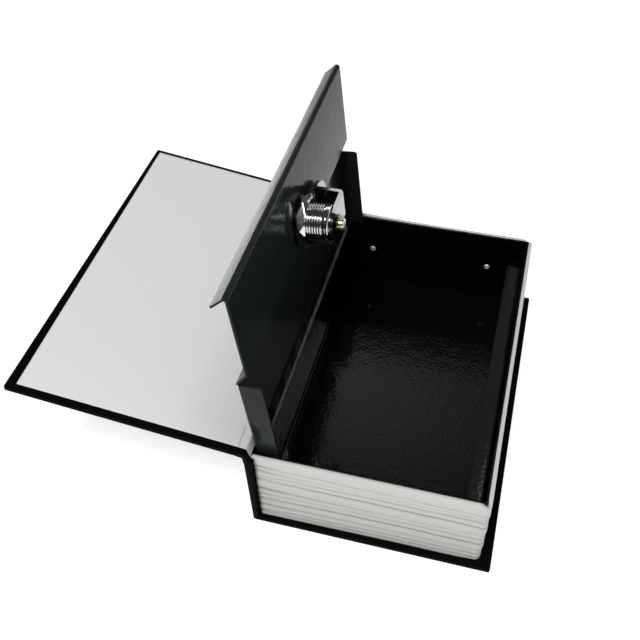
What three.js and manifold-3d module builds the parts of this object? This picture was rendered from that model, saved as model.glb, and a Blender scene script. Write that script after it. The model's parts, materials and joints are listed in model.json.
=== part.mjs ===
// Book diversion safe: a sheet steel tub with a locking lid, dressed as a hardback book.
// The book lies on its back cover with the front cover swung over and the steel lid up.
// Lengths are millimetres. X runs from the spine to the fore edge, Y along the spine, Z up.
// The origin is the centre of the back cover's underside. The lid and the front cover are
// drawn closed, in groups that sit on their hinge axes, and the groups are turned open.

import * as THREE from 'three';
import { mergeVertices } from 'three/addons/utils/BufferGeometryUtils.js';
import Module from 'manifold-3d';

const wasm = await Module();
wasm.setup();

// Whole book
const bookWidth = 115;
const bookLength = 180;
const bookHeight = 54;
const lidOpenDegrees = 94.8;
const coverOpenDegrees = 171.6;

// Case boards and their leatherette
const skinThickness = 0.4;
const backBoardThickness = 1.8;
const spineBoardThickness = 2;
const frontBoardThickness = 1.6;
const frontCoverWidth = 114;
const turnInWidth = 14;
const turnInThickness = 0.3;
const endpaperThickness = 0.2;
const endpaperForeMargin = 5;
const endpaperHeadMargin = 1.6;
const endpaperJointMargin = 2;
const layerGap = 0.12;
const foldGap = 0.3;
const jointStripWidth = 1.6;
const spineTurnIn = 4;
const closingGap = 0.4;

// Moulded page block
const pageWall = 2.2;
const pageHeadMargin = 3;
const pageForeMargin = 5.2;
const pageCornerRadius = 3.2;
const ridgeCount = 14;
const ridgeDepth = 0.4;
const ridgedShare = 0.74;
const ridgeCrowdingShare = 1.3;
const cornerSteps = 4;

// Steel tub
const steelThickness = 1;
const tubSpineGap = 0.1;
const leftWallDrop = 3.3;
const cornerTabWidth = 11;
const cornerTabDrop = 1;
const ledgeWidth = 8.2;
const ledgeLeg = 8;
const ledgeThickness = 1;
const ledgeEndInset = 5.3;

// Piano hinge of the lid
const hingeDrop = 4.8;
const knuckleRadius = 1.2;
const knuckleCount = 17;
const knuckleGap = 0.3;
const knuckleWallGap = 0.1;
const hingePinRadius = 0.7;
const hingePinPlay = 0.15;
const hingePinOverhang = 1.2;
const hingeEndInset = 5.8;
const leafThickness = 0.7;
const leafWidth = 7.6;
const leafRelief = 0.5;
const hingeSides = 12;

// Lid sheet
const lidThickness = 1;
const lidInnerRise = 0.5;
const lidHingeEdge = 2.2;
const lidEndClearance = 0.6;
const lidSeatGap = 0.3;
const joggleStart = 51.1;
const joggleRun = 6.4;
const recessDepth = 5.3;
const lipLength = 9.3;
const lipDegrees = 51;
const bendRadius = 1.6;
const bendSteps = 4;
const lipMitreShare = 0.3;
const earDepth = 10;
const earRelief = 1.2;
const earCornerRadius = 1.5;
const earGap = 0.4;
const leafSeatGap = 0.1;

// Page block rivets
const rivetHeadRadius = 1.6;
const rivetHeadHeight = 0.9;
const rivetShankRadius = 1;
const rivetClearance = 0.15;
const rivetGrip = 1.1;
const rivetSpineInset = 16.3;
const rivetForeInset = 19.5;
const rivetRise = 24.3;
const rivetSides = 14;
const rivetRings = 4;

// Cam lock
const lockPlaceShare = 0.29;
const lockHeadRadius = 9.5;
const lockHeadHeight = 2.6;
const lockHeadChamfer = 0.6;
const barrelRadius = 8;
const barrelFlat = 6.9;
const barrelFlatDegrees = 47;
const barrelReach = 14.8;
const barrelHoleGap = 0.25;
const nutAcross = 22;
const nutHeight = 4.5;
const nutChamfer = 0.8;
const nutGap = 0.15;
const lockWasherRadius = 12.4;
const lockWasherThickness = 0.6;
const plugRadius = 6;
const plugPlay = 0.3;
const keySlotWidth = 1.4;
const keySlotHeight = 7;
const keySlotDepth = 13;
const driveHalf = 3;
const drivePlay = 0.15;
const driveStub = 0.4;
const roundSides = 28;

// Wafers inside the plug
const waferCount = 5;
const waferPitch = 2.3;
const waferFirst = 2.6;
const waferThickness = 0.6;
const waferHalfWidth = 3.2;
const waferReach = 4;
const waferSpringLength = 1.4;
const waferSpringRadius = 0.3;
const waferPlay = 0.15;

// Cam, washer and screw
const camThickness = 1.8;
const camHalfWidth = 7.5;
const camCrankPlace = 17;
const camReach = 29.5;
const camLatchGap = 0.5;
const camSeatGap = 0.15;
const camSteps = 10;
const camWasherRadius = 4.4;
const camWasherThickness = 0.6;
const screwHeadRadius = 3.4;
const screwHeadHeight = 2.2;
const screwShankRadius = 1.5;
const screwLength = 7;
const screwPlay = 0.2;
const crossSlotWidth = 0.9;
const crossSlotLength = 4;
const crossSlotDepth = 1.1;

// How far a cutting tool runs past what it cuts
const overrun = 2;

// Places that follow from the sizes
const left = -bookWidth / 2;
const right = bookWidth / 2;
const head = bookLength / 2;
const backCoverTop = skinThickness + backBoardThickness + skinThickness;
const frontCoverThickness = skinThickness + frontBoardThickness + turnInThickness
  + endpaperThickness + 3 * layerGap;
const rim = bookHeight - frontCoverThickness - closingGap;
const spineInner = left + skinThickness + spineBoardThickness;
const tubLeft = spineInner + tubSpineGap;
const tubLeftInner = tubLeft + steelThickness;
const tubRight = right - pageForeMargin - pageWall;
const tubRightInner = tubRight - steelThickness;
const tubEnd = head - pageHeadMargin - pageWall;
const tubEndInner = tubEnd - steelThickness;
const tubFloor = backCoverTop + steelThickness;
const hingeX = tubLeftInner + knuckleRadius + knuckleWallGap;
const hingeZ = rim - hingeDrop;
const lidFree = tubRightInner - hingeX - lidEndClearance;
const lidEnd = tubEndInner - steelThickness - earGap;
const joggleEnd = joggleStart + joggleRun;
const recessInner = lidInnerRise - recessDepth;
const ledgeTop = hingeZ + recessInner - lidSeatGap;
const lockU = joggleEnd + lockPlaceShare * (lidFree - joggleEnd);
const barrelEnd = recessInner - barrelReach;
const camTop = barrelEnd - camSeatGap;
const camBottom = camTop - camThickness;
const tongueTop = recessInner - lidSeatGap - ledgeThickness - camLatchGap;
const creaseX = left + skinThickness / 2;
const creaseZ = bookHeight - skinThickness / 2;
const coverStart = foldGap + jointStripWidth + foldGap;

// Materials
const leatherette = new THREE.MeshStandardMaterial({ color: 0x141516, roughness: 0.62 });
const greyboard = new THREE.MeshStandardMaterial({ color: 0x8a8378, roughness: 0.9 });
const paper = new THREE.MeshStandardMaterial({ color: 0xe4e5e6, roughness: 0.8 });
const pagePlastic = new THREE.MeshStandardMaterial({ color: 0xe2e3de, roughness: 0.5 });
const blackSteel = new THREE.MeshStandardMaterial({ color: 0x15191b, roughness: 0.28, metalness: 0.3 });
const chrome = new THREE.MeshStandardMaterial({ color: 0xd6dad8, roughness: 0.15, metalness: 1 });
const zinc = new THREE.MeshStandardMaterial({ color: 0xc4c8c6, roughness: 0.35, metalness: 0.9 });
const brass = new THREE.MeshStandardMaterial({ color: 0xc9b26a, roughness: 0.3, metalness: 1 });
const rivetMetal = new THREE.MeshStandardMaterial({ color: 0xb9bcbc, roughness: 0.4, metalness: 0.6 });

function toSolid(geometry) {
  const bare = geometry.clone();
  bare.deleteAttribute('normal');
  bare.deleteAttribute('uv');
  const merged = mergeVertices(bare);
  const vertProperties = new Float32Array(merged.attributes.position.array);
  const triVerts = new Uint32Array(merged.index.array);
  return new wasm.Manifold(new wasm.Mesh({ numProp: 3, vertProperties, triVerts }));
}

function toGeometry(solid) {
  const mesh = solid.getMesh();
  const geometry = new THREE.BufferGeometry();
  geometry.setAttribute('position', new THREE.BufferAttribute(mesh.vertProperties, 3));
  geometry.setIndex(new THREE.BufferAttribute(mesh.triVerts, 1));
  return geometry;
}

function join(...geometries) {
  return toGeometry(geometries.map(toSolid).reduce((sum, next) => sum.add(next)));
}

function cut(body, ...tools) {
  return toGeometry(tools.map(toSolid).reduce((rest, tool) => rest.subtract(tool), toSolid(body)));
}

// A plain block between two corners
function block([x0, x1], [y0, y1], [z0, z1]) {
  const geometry = new THREE.BoxGeometry(x1 - x0, y1 - y0, z1 - z0);
  return geometry.translate((x0 + x1) / 2, (y0 + y1) / 2, (z0 + z1) / 2);
}

function shapeOf(points) {
  return new THREE.Shape(points.map(([a, b]) => new THREE.Vector2(a, b)));
}

// An outline of X and Z places carried along Y
function alongY(points, y0, y1) {
  const geometry = new THREE.ExtrudeGeometry(shapeOf(points), { depth: y1 - y0, bevelEnabled: false });
  return geometry.rotateX(Math.PI / 2).translate(0, y1, 0);
}

// An outline of X and Y places carried up Z
function alongZ(points, z0, z1) {
  const geometry = new THREE.ExtrudeGeometry(shapeOf(points), { depth: z1 - z0, bevelEnabled: false });
  return geometry.translate(0, 0, z0);
}

function rodAlongZ(radius, z0, z1, sides = roundSides) {
  const geometry = new THREE.CylinderGeometry(radius, radius, z1 - z0, sides);
  return geometry.rotateX(Math.PI / 2).translate(0, 0, (z0 + z1) / 2);
}

function rodAlongY(radius, y0, y1, sides) {
  return new THREE.CylinderGeometry(radius, radius, y1 - y0, sides).translate(0, (y0 + y1) / 2, 0);
}

// A turned shape about Z from radius and height pairs that start and end on the axis
function turned(profile, sides = roundSides) {
  const points = profile.map(([radius, height]) => new THREE.Vector2(radius, height));
  return new THREE.LatheGeometry(points, sides).rotateX(Math.PI / 2);
}

function add(group, name, geometry, material) {
  const mesh = new THREE.Mesh(geometry, material);
  mesh.name = name;
  group.add(mesh);
  return mesh;
}

// The centre path of a bent sheet: straight runs with a rounded bend at each inner corner
function bentPath(corners) {
  const path = new THREE.Path().moveTo(...corners[0]);
  for (let i = 1; i < corners.length - 1; i += 1) {
    const corner = new THREE.Vector2(...corners[i]);
    const before = new THREE.Vector2(...corners[i - 1]).sub(corner).setLength(bendRadius).add(corner);
    const after = new THREE.Vector2(...corners[i + 1]).sub(corner).setLength(bendRadius).add(corner);
    path.lineTo(before.x, before.y);
    path.quadraticCurveTo(corner.x, corner.y, after.x, after.y);
  }
  path.lineTo(...corners.at(-1));
  return path.getPoints(bendSteps);
}

// A closed outline that runs up one side of a bent sheet and back down the other
function sheetOutline(corners, thickness) {
  const path = bentPath(corners);
  const offset = (side) => path.map((point, i) => {
    const ahead = path[Math.min(i + 1, path.length - 1)];
    const behind = path[Math.max(i - 1, 0)];
    const into = point.clone().sub(i > 0 ? behind : point).normalize();
    const out = ahead.clone().sub(i < path.length - 1 ? point : ahead).normalize();
    const along = into.clone().add(out).normalize();
    const reference = i > 0 ? into : out;
    const mitre = thickness / 2 / Math.max(along.dot(reference), lipMitreShare);
    return [point.x - along.y * mitre * side, point.y + along.x * mitre * side];
  });
  return [...offset(1), ...offset(-1).reverse()];
}

// Back cover: greyboard core in a leatherette wrap, with a paper lining under the tub
function addBackCover(group) {
  const coreX = [spineInner + foldGap, right - skinThickness];
  const coreY = [-head + skinThickness, head - skinThickness];
  const coreZ = [skinThickness, skinThickness + backBoardThickness];
  const windowX = [coreX[0] - overrun, right - turnInWidth];
  const windowY = [-head + turnInWidth, head - turnInWidth];
  const wrap = block([left + skinThickness, right], [-head, head], [0, backCoverTop]);
  const coreCut = block([left, coreX[1]], coreY, coreZ);
  const windowCut = block([left, windowX[1]], windowY, [coreZ[1] - overrun, backCoverTop + overrun]);
  const spineCut = block([left, coreX[0]], [-head - overrun, head + overrun],
    [skinThickness, backCoverTop + overrun]);
  const bottomKeep = block([left, right], [-head, head], [-overrun, skinThickness]);
  const opened = cut(wrap, coreCut, cut(windowCut, bottomKeep), spineCut);
  add(group, 'back_cover_skin', opened, leatherette);
  add(group, 'back_cover_board', block(coreX, coreY, coreZ), greyboard);
  add(group, 'back_cover_lining', block([coreX[0], windowX[1]], windowY, [coreZ[1], backCoverTop]), paper);
}

// Spine: a board with leatherette round its outer face and its two ends
function addSpine(group) {
  const boardX = [left + skinThickness, spineInner];
  const boardY = [-head + skinThickness, head - skinThickness];
  add(group, 'spine_board', block(boardX, boardY, [skinThickness, rim]), greyboard);
  const outer = block([left, boardX[0]], [-head, head], [0, creaseZ - foldGap - skinThickness / 2]);
  const ends = [-1, 1].map((side) => {
    const edge = [side * boardY[1], side * head].sort((a, b) => a - b);
    const flap = [side * (head - spineTurnIn), side * head].sort((a, b) => a - b);
    const cap = block([left, spineInner + tubSpineGap], edge, [skinThickness, rim]);
    const inner = block([spineInner, spineInner + tubSpineGap], flap, [skinThickness, rim]);
    return join(cap, inner);
  });
  add(group, 'spine_skin', join(outer, ...ends), leatherette);
}

// One level of the page block: a rounded rectangle, drawn in by the depth of the groove there
function pageLoop(inset) {
  const x0 = tubLeft + tubSpineGap;
  const x1 = tubRight + pageWall - inset;
  const y1 = tubEnd + pageWall - inset;
  const loop = [[x0, -y1]];
  for (const [side, start] of [[-1, -Math.PI / 2], [1, 0]]) {
    for (let i = 0; i <= cornerSteps; i += 1) {
      const angle = start + (Math.PI / 2) * (i / cornerSteps);
      loop.push([
        x1 - pageCornerRadius + pageCornerRadius * Math.cos(angle),
        side * (y1 - pageCornerRadius) + pageCornerRadius * Math.sin(angle),
      ]);
    }
  }
  loop.push([x0, y1]);
  return loop;
}

// A closed skin over a stack of loops that all have the same count of points
function stackedLoops(levels) {
  const count = levels[0].loop.length;
  const positions = levels.flatMap(({ loop, z }) => loop.flatMap(([x, y]) => [x, y, z]));
  const index = [];
  for (let level = 0; level < levels.length - 1; level += 1) {
    for (let i = 0; i < count; i += 1) {
      const a = level * count + i;
      const b = level * count + ((i + 1) % count);
      index.push(a, b, b + count, a, b + count, a + count);
    }
  }
  const top = (levels.length - 1) * count;
  for (let i = 1; i < count - 1; i += 1) {
    index.push(0, i + 1, i, top, top + i, top + i + 1);
  }
  const geometry = new THREE.BufferGeometry();
  geometry.setAttribute('position', new THREE.Float32BufferAttribute(positions, 3));
  geometry.setIndex(index);
  return geometry;
}

// Page block: one moulded wall round the tail, fore edge and head, ribbed like paper
function addPageBlock(group) {
  const ridged = (rim - backCoverTop) * ridgedShare;
  const levels = [{ z: backCoverTop, loop: pageLoop(0) }];
  for (let k = 1; k < 2 * ridgeCount; k += 1) {
    const share = (k / (2 * ridgeCount)) ** ridgeCrowdingShare;
    levels.push({ z: backCoverTop + ridged * share, loop: pageLoop(k % 2 ? ridgeDepth : 0) });
  }
  levels.push({ z: rim, loop: pageLoop(0) });
  const inside = block([left, tubRight], [-tubEnd, tubEnd], [-overrun, bookHeight + overrun]);
  const sockets = rivetPlaces().map(({ x, side }) => rivetHole(x, side, tubEnd + rivetGrip + rivetClearance));
  add(group, 'page_block', cut(stackedLoops(levels), inside, ...sockets), pagePlastic);
}

function rivetPlaces() {
  const places = [];
  for (const [end, side] of [['tail', -1], ['head', 1]]) {
    for (const [edge, x] of [['spine', tubLeftInner + rivetSpineInset], ['fore', tubRightInner - rivetForeInset]]) {
      places.push({ name: `page_rivet_${end}_${edge}`, x, side });
    }
  }
  return places;
}

function rivetHole(x, side, reach) {
  const ends = [side * (tubEndInner - overrun), side * reach].sort((a, b) => a - b);
  return rodAlongY(rivetShankRadius + rivetClearance, ...ends, rivetSides)
    .translate(x, 0, tubFloor + rivetRise);
}

// Rivets that hold the page block: a low dome inside the tub and a shank in the moulding
function addRivets(group) {
  for (const { name, x, side } of rivetPlaces()) {
    const profile = [[0, -steelThickness - rivetGrip], [rivetShankRadius, -steelThickness - rivetGrip],
      [rivetShankRadius, 0], [rivetHeadRadius, 0]];
    for (let i = 1; i < rivetRings; i += 1) {
      const angle = (Math.PI / 2) * (i / rivetRings);
      profile.push([rivetHeadRadius * Math.cos(angle), rivetHeadHeight * Math.sin(angle)]);
    }
    profile.push([0, rivetHeadHeight]);
    const rivet = turned(profile, rivetSides).rotateX(side * Math.PI / 2);
    add(group, name, rivet.translate(x, side * tubEndInner, tubFloor + rivetRise), rivetMetal);
  }
}

// Tub: a folded pan with corner tabs on the hinge wall, and two welded end walls
function addTub(group) {
  const hingeWallTop = rim - leftWallDrop;
  const section = [[tubLeft, backCoverTop], [tubRight, backCoverTop], [tubRight, rim],
    [tubRightInner, rim], [tubRightInner, tubFloor], [tubLeftInner, tubFloor],
    [tubLeftInner, hingeWallTop], [tubLeft, hingeWallTop]];
  const tabs = [-1, 1].map((side) => block([tubLeft, tubLeftInner + cornerTabWidth],
    [side * (tubEndInner - steelThickness), side * tubEndInner].sort((a, b) => a - b),
    [backCoverTop, rim - cornerTabDrop]));
  add(group, 'tub_pan', cut(join(alongY(section, -tubEndInner, tubEndInner), ...tabs),
    block([tubLeft - overrun, tubLeftInner], [-tubEnd, tubEnd], [hingeWallTop, rim])), blackSteel);
  for (const [name, side] of [['tub_tail_wall', -1], ['tub_head_wall', 1]]) {
    const wall = block([tubLeft, tubRight], [side * tubEndInner, side * tubEnd].sort((a, b) => a - b),
      [backCoverTop, rim]);
    const holes = rivetPlaces().filter((place) => place.side === side)
      .map((place) => rivetHole(place.x, side, tubEnd + overrun));
    add(group, name, cut(wall, ...holes), blackSteel);
  }
  const ledgeEnd = tubEndInner - ledgeEndInset;
  const ledge = [[tubRightInner - ledgeWidth, ledgeTop - ledgeThickness],
    [tubRightInner - ledgeThickness, ledgeTop - ledgeThickness],
    [tubRightInner - ledgeThickness, ledgeTop - ledgeLeg], [tubRightInner, ledgeTop - ledgeLeg],
    [tubRightInner, ledgeTop], [tubRightInner - ledgeWidth, ledgeTop]];
  add(group, 'lid_ledge', alongY(ledge, -ledgeEnd, ledgeEnd), blackSteel);
}

// One leaf of the piano hinge about the Y axis at the origin. The plate is an outline of X and Z
// that runs the whole length, and each arm reaches from it to a rolled knuckle on the axis.
function hingeLeaf(plate, arm, firstKnuckle) {
  const end = tubEndInner - hingeEndInset;
  const pitch = 2 * end / knuckleCount;
  let leaf = alongY(plate, -end, end);
  const arms = [];
  for (let k = firstKnuckle; k < knuckleCount; k += 2) {
    const y0 = -end + k * pitch + knuckleGap / 2;
    const y1 = y0 + pitch - knuckleGap;
    arms.push(alongY(arm, y0, y1), rodAlongY(knuckleRadius, y0, y1, hingeSides));
  }
  leaf = join(leaf, ...arms);
  return cut(leaf, rodAlongY(hingePinRadius + hingePinPlay, -end - overrun, end + overrun, hingeSides));
}

function rectangle([a0, a1], [b0, b1]) {
  return [[a0, b0], [a1, b0], [a1, b1], [a0, b1]];
}

// The leaf that is welded to the tub's hinge wall, and the pin
function addTubHinge(group) {
  const wall = tubLeftInner - hingeX;
  const x = [wall, wall + leafThickness];
  const top = -knuckleRadius - leafRelief;
  const leaf = hingeLeaf(rectangle(x, [-leafWidth, top]), rectangle(x, [top - leafRelief, 0]), 0);
  add(group, 'hinge_leaf_tub', leaf.translate(hingeX, 0, hingeZ), blackSteel);
  const end = tubEndInner - hingeEndInset + hingePinOverhang;
  const pin = rodAlongY(hingePinRadius, -end, end, hingeSides);
  add(group, 'hinge_pin', pin.translate(hingeX, 0, hingeZ), zinc);
}

// Lid: a bent sheet with a sunk outer half, a folded lip and an ear at each end
function addLid(group) {
  const half = lidThickness / 2;
  const upper = lidInnerRise + half;
  const lower = recessInner + half;
  const lip = THREE.MathUtils.degToRad(lipDegrees);
  const corners = [[lidHingeEdge, upper], [joggleStart, upper], [joggleEnd, lower], [lidFree - half, lower],
    [lidFree - half - lipLength * Math.cos(lip), lower + lipLength * Math.sin(lip)]];
  const sheet = alongY(sheetOutline(corners, lidThickness), -lidEnd, lidEnd);
  const earStop = joggleStart - earRelief;
  const earLow = lidInnerRise - earDepth;
  const ears = [-1, 1].map((side) => {
    const outline = [[lidHingeEdge, upper], [lidHingeEdge, earLow], [earStop - earCornerRadius, earLow],
      [earStop, earLow + earCornerRadius], [earStop, upper]];
    return alongY(outline, ...[side * (lidEnd - lidThickness), side * lidEnd].sort((a, b) => a - b));
  });
  const hole = rodAlongZ(barrelRadius + barrelHoleGap, lower - overrun, lower + overrun).translate(lockU, 0, 0);
  add(group, 'lid_panel', cut(join(sheet, ...ears), hole), blackSteel);
  const leafTop = lidInnerRise - leafSeatGap;
  const z = [leafTop - leafThickness, leafTop];
  const start = knuckleRadius + leafRelief;
  const leaf = hingeLeaf(rectangle([start, leafWidth], z), rectangle([0, start + leafRelief], z), 1);
  add(group, 'hinge_leaf_lid', leaf, blackSteel);
}

// Lock barrel: a chamfered head on the lid's outer face and a threaded body with two flats
function addLockBody(group) {
  const seat = recessInner + lidThickness + nutGap;
  const top = seat + lockHeadHeight;
  const body = turned([[0, barrelEnd], [barrelRadius, barrelEnd], [barrelRadius, seat], [lockHeadRadius, seat],
    [lockHeadRadius, top - lockHeadChamfer], [lockHeadRadius - lockHeadChamfer, top], [0, top]]);
  const span = barrelRadius + overrun;
  const flats = [-1, 1].map((side) => {
    const x = [side * barrelFlat, side * span].sort((a, b) => a - b);
    return block(x, [-span, span], [barrelEnd - overrun, recessInner - nutGap])
      .rotateZ(THREE.MathUtils.degToRad(barrelFlatDegrees));
  });
  const bore = rodAlongZ(plugRadius + plugPlay, barrelEnd - overrun, top + overrun);
  add(group, 'lock_barrel', cut(body, ...flats, bore), chrome);
  const hole = rodAlongZ(barrelRadius + nutGap, barrelEnd, seat);
  const washerTop = recessInner - nutGap;
  const washerLow = washerTop - lockWasherThickness;
  add(group, 'lock_washer', cut(rodAlongZ(lockWasherRadius, washerLow, washerTop), hole), zinc);
  const nutTop = washerLow - nutGap;
  const nutLow = nutTop - nutHeight;
  const corner = nutAcross / 2 / Math.cos(Math.PI / 6);
  const hex = new THREE.CylinderGeometry(corner, corner, nutHeight, 6).rotateX(Math.PI / 2)
    .translate(0, 0, (nutTop + nutLow) / 2);
  const cone = turned([[0, nutLow], [nutAcross / 2, nutLow], [corner, nutLow + nutChamfer],
    [corner, nutTop], [0, nutTop]]);
  const nut = toGeometry(toSolid(hex).intersect(toSolid(cone)));
  add(group, 'lock_nut', cut(nut, hole), chrome);
}

// Lock plug: turns in the barrel, slotted for the key and its wafers, with a square drive end
function addLockPlug(group) {
  const top = recessInner + lidThickness + nutGap + lockHeadHeight;
  const body = rodAlongZ(plugRadius, barrelEnd, top);
  const drive = block([-driveHalf, driveHalf], [-driveHalf, driveHalf], [camBottom - driveStub, barrelEnd + overrun]);
  const keySlot = block([-keySlotWidth / 2, keySlotWidth / 2], [-keySlotHeight / 2, keySlotHeight / 2],
    [top - keySlotDepth, top + overrun]);
  const slots = [];
  for (let k = 0; k < waferCount; k += 1) {
    const z = top - waferFirst - k * waferPitch;
    slots.push(block([-waferHalfWidth - waferPlay, waferHalfWidth + waferPlay], [-plugRadius, plugRadius],
      [z - waferThickness - waferPlay, z + waferPlay]));
    const wafer = block([-waferHalfWidth, waferHalfWidth], [-waferReach, waferReach - waferSpringLength],
      [z - waferThickness, z]);
    const keyWindow = block([-keySlotWidth / 2 - waferPlay, keySlotWidth / 2 + waferPlay],
      [-keySlotHeight / 2 + waferPlay * (k + 1), keySlotHeight / 2 - waferSpringLength], [z - overrun, z + overrun]);
    add(group, `wafer_${k + 1}`, cut(wafer, keyWindow), brass);
    const springStart = waferReach - waferSpringLength + waferPlay;
    const spring = rodAlongY(waferSpringRadius, springStart, springStart + waferSpringLength, rivetSides);
    add(group, `wafer_spring_${k + 1}`,
      spring.translate(waferHalfWidth / 2, 0, z - waferThickness / 2), zinc);
  }
  const thread = rodAlongZ(screwShankRadius + screwPlay, camBottom - overrun, barrelEnd + screwLength);
  add(group, 'lock_plug', cut(join(body, drive), keySlot, ...slots, thread), brass);
}

// Cam: a plate on the plug's end, cranked back towards the lid, with a round tongue. It points
// along Y here, where the lock is open.
function addCam(group) {
  const plate = [];
  for (let i = 0; i <= camSteps; i += 1) {
    const angle = Math.PI + Math.PI * (i / camSteps);
    plate.push([camHalfWidth * Math.cos(angle), camHalfWidth * Math.sin(angle)]);
  }
  plate.push([camHalfWidth, camCrankPlace], [-camHalfWidth, camCrankPlace]);
  const tongueStart = camCrankPlace - camThickness;
  const tongue = [[-camHalfWidth, tongueStart], [camHalfWidth, tongueStart]];
  for (let i = 0; i <= camSteps; i += 1) {
    const angle = Math.PI * (i / camSteps);
    tongue.push([camHalfWidth * Math.cos(angle), camReach - camHalfWidth + camHalfWidth * Math.sin(angle)]);
  }
  const web = block([-camHalfWidth, camHalfWidth], [tongueStart, camCrankPlace], [camBottom, tongueTop]);
  const square = driveHalf + drivePlay;
  const hole = block([-square, square], [-square, square], [camBottom - overrun, camTop + overrun]);
  const tongueLow = tongueTop - camThickness;
  const cam = cut(join(alongZ(plate, camBottom, camTop), web, alongZ(tongue, tongueLow, tongueTop)), hole);
  add(group, 'lock_cam', cam, zinc);
}

// Screw and washer that hold the cam on the plug
function addCamScrew(group) {
  const washerTop = camBottom - driveStub - camSeatGap;
  const washerLow = washerTop - camWasherThickness;
  const washer = cut(rodAlongZ(camWasherRadius, washerLow, washerTop),
    rodAlongZ(screwShankRadius + screwPlay, washerLow - overrun, washerTop + overrun));
  add(group, 'cam_washer', washer, zinc);
  const seat = washerLow - camSeatGap;
  const low = seat - screwHeadHeight;
  const tip = barrelEnd + screwLength - screwPlay - screwShankRadius;
  const screw = turned([[0, low], [screwHeadRadius / 2, low], [screwHeadRadius, seat - screwHeadHeight / 2],
    [screwHeadRadius, seat], [screwShankRadius, seat], [screwShankRadius, tip], [0, tip + screwShankRadius]],
    rivetSides);
  const arm = crossSlotLength / 2;
  const blade = crossSlotWidth / 2;
  const slotZ = [low - overrun, low + crossSlotDepth];
  add(group, 'cam_screw', cut(screw, block([-arm, arm], [-blade, blade], slotZ),
    block([-blade, blade], [-arm, arm], slotZ)), brass);
}

// Front cover, drawn closed from the crease: wrap, board and endpaper, outer face up
function addFrontCover(group) {
  const fore = frontCoverWidth - skinThickness / 2;
  const top = skinThickness / 2;
  const boardTop = top - skinThickness - layerGap;
  const boardLow = boardTop - frontBoardThickness;
  const turnTop = boardLow - layerGap;
  const turnLow = turnTop - turnInThickness;
  const boardX = [coverStart + layerGap, fore - skinThickness - layerGap];
  const boardY = head - skinThickness - layerGap;
  const wrap = block([coverStart, fore], [-head, head], [turnLow, top]);
  const cavity = block([coverStart - overrun, fore - skinThickness],
    [-head + skinThickness, head - skinThickness], [turnTop, top - skinThickness]);
  const opening = block([coverStart - overrun, fore - turnInWidth],
    [-head + turnInWidth, head - turnInWidth], [turnLow - overrun, top - skinThickness]);
  add(group, 'front_cover_skin', cut(wrap, cavity, opening), leatherette);
  add(group, 'front_cover_board', block(boardX, [-boardY, boardY], [boardLow, boardTop]), greyboard);
  const sheetTop = turnLow - layerGap;
  const sheetY = head - endpaperHeadMargin;
  add(group, 'front_endpaper', block([coverStart + endpaperJointMargin, fore - endpaperForeMargin],
    [-sheetY, sheetY], [sheetTop - endpaperThickness, sheetTop]), paper);
}

// Leatherette strip between the spine's crease and the front board
function addJointStrip(group) {
  const half = skinThickness / 2;
  add(group, 'joint_strip', block([foldGap, foldGap + jointStripWidth], [-head, head], [-half, half]), leatherette);
}

function turnedGroup(parent, x, z, degrees) {
  const group = new THREE.Group();
  group.position.set(x, 0, z);
  group.rotation.y = -THREE.MathUtils.degToRad(degrees);
  parent.add(group);
  return group;
}

const bookSafe = new THREE.Group();
addBackCover(bookSafe);
addSpine(bookSafe);
addPageBlock(bookSafe);
addRivets(bookSafe);
addTub(bookSafe);
addTubHinge(bookSafe);

const lid = turnedGroup(bookSafe, hingeX, hingeZ, lidOpenDegrees);
addLid(lid);
const lock = new THREE.Group();
lock.position.set(lockU, 0, 0);
lid.add(lock);
addLockBody(lock);
addLockPlug(lock);
addCam(lock);
addCamScrew(lock);

const cover = turnedGroup(bookSafe, creaseX, creaseZ, coverOpenDegrees);
addJointStrip(cover);
addFrontCover(cover);

export default bookSafe;
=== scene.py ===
import json
import math

import bmesh
import bpy
import numpy as np
from mathutils import Matrix


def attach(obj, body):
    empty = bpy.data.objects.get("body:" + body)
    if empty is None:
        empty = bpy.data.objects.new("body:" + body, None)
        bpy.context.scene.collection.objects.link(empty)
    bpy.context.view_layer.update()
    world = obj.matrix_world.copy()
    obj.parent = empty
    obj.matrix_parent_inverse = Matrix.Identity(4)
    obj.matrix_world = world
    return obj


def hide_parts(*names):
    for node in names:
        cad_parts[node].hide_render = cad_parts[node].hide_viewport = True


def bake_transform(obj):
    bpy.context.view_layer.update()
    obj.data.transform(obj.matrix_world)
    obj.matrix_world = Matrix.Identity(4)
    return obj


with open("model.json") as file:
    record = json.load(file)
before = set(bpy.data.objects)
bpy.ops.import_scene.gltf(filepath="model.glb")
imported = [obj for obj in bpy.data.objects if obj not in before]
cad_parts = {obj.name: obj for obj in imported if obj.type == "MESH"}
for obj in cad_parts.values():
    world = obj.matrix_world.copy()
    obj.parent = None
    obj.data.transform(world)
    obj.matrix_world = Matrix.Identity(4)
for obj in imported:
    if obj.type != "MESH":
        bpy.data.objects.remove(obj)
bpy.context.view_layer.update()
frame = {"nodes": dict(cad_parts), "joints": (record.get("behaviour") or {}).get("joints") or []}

# A book diversion safe: the finished surfaces of its covers, page block, steel tub, lid and lock.
# Lengths are millimetres until a mesh is made. Rings, paths and sections are numpy arrays.
MM = 0.001
joints = {joint["name"]: joint for joint in frame["joints"]}

# Photographed view: the camera's place in mm, its turns in radians, its focal length and shift in pixels
camera_place = np.array([37.5, -272.2, 360.8])
camera_yaw = -0.2830
camera_pitch = 0.8442
camera_roll = -0.0325
focal_pixels = 825.0
frame_pixels = 640
centre_pixels = np.array([10.1, 14.1])
film_width = 36.0
view_start = 10.0
view_end = 50000.0

# Meshes: closer points are welded, shorter edges go, and edges that turn by more are rounded
weld_reach = 0.002
least_edge = 0.001
rounding_from = math.radians(40)
least_corner = 0.02
slab_fill = 0.98
slab_rings = 8

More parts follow.
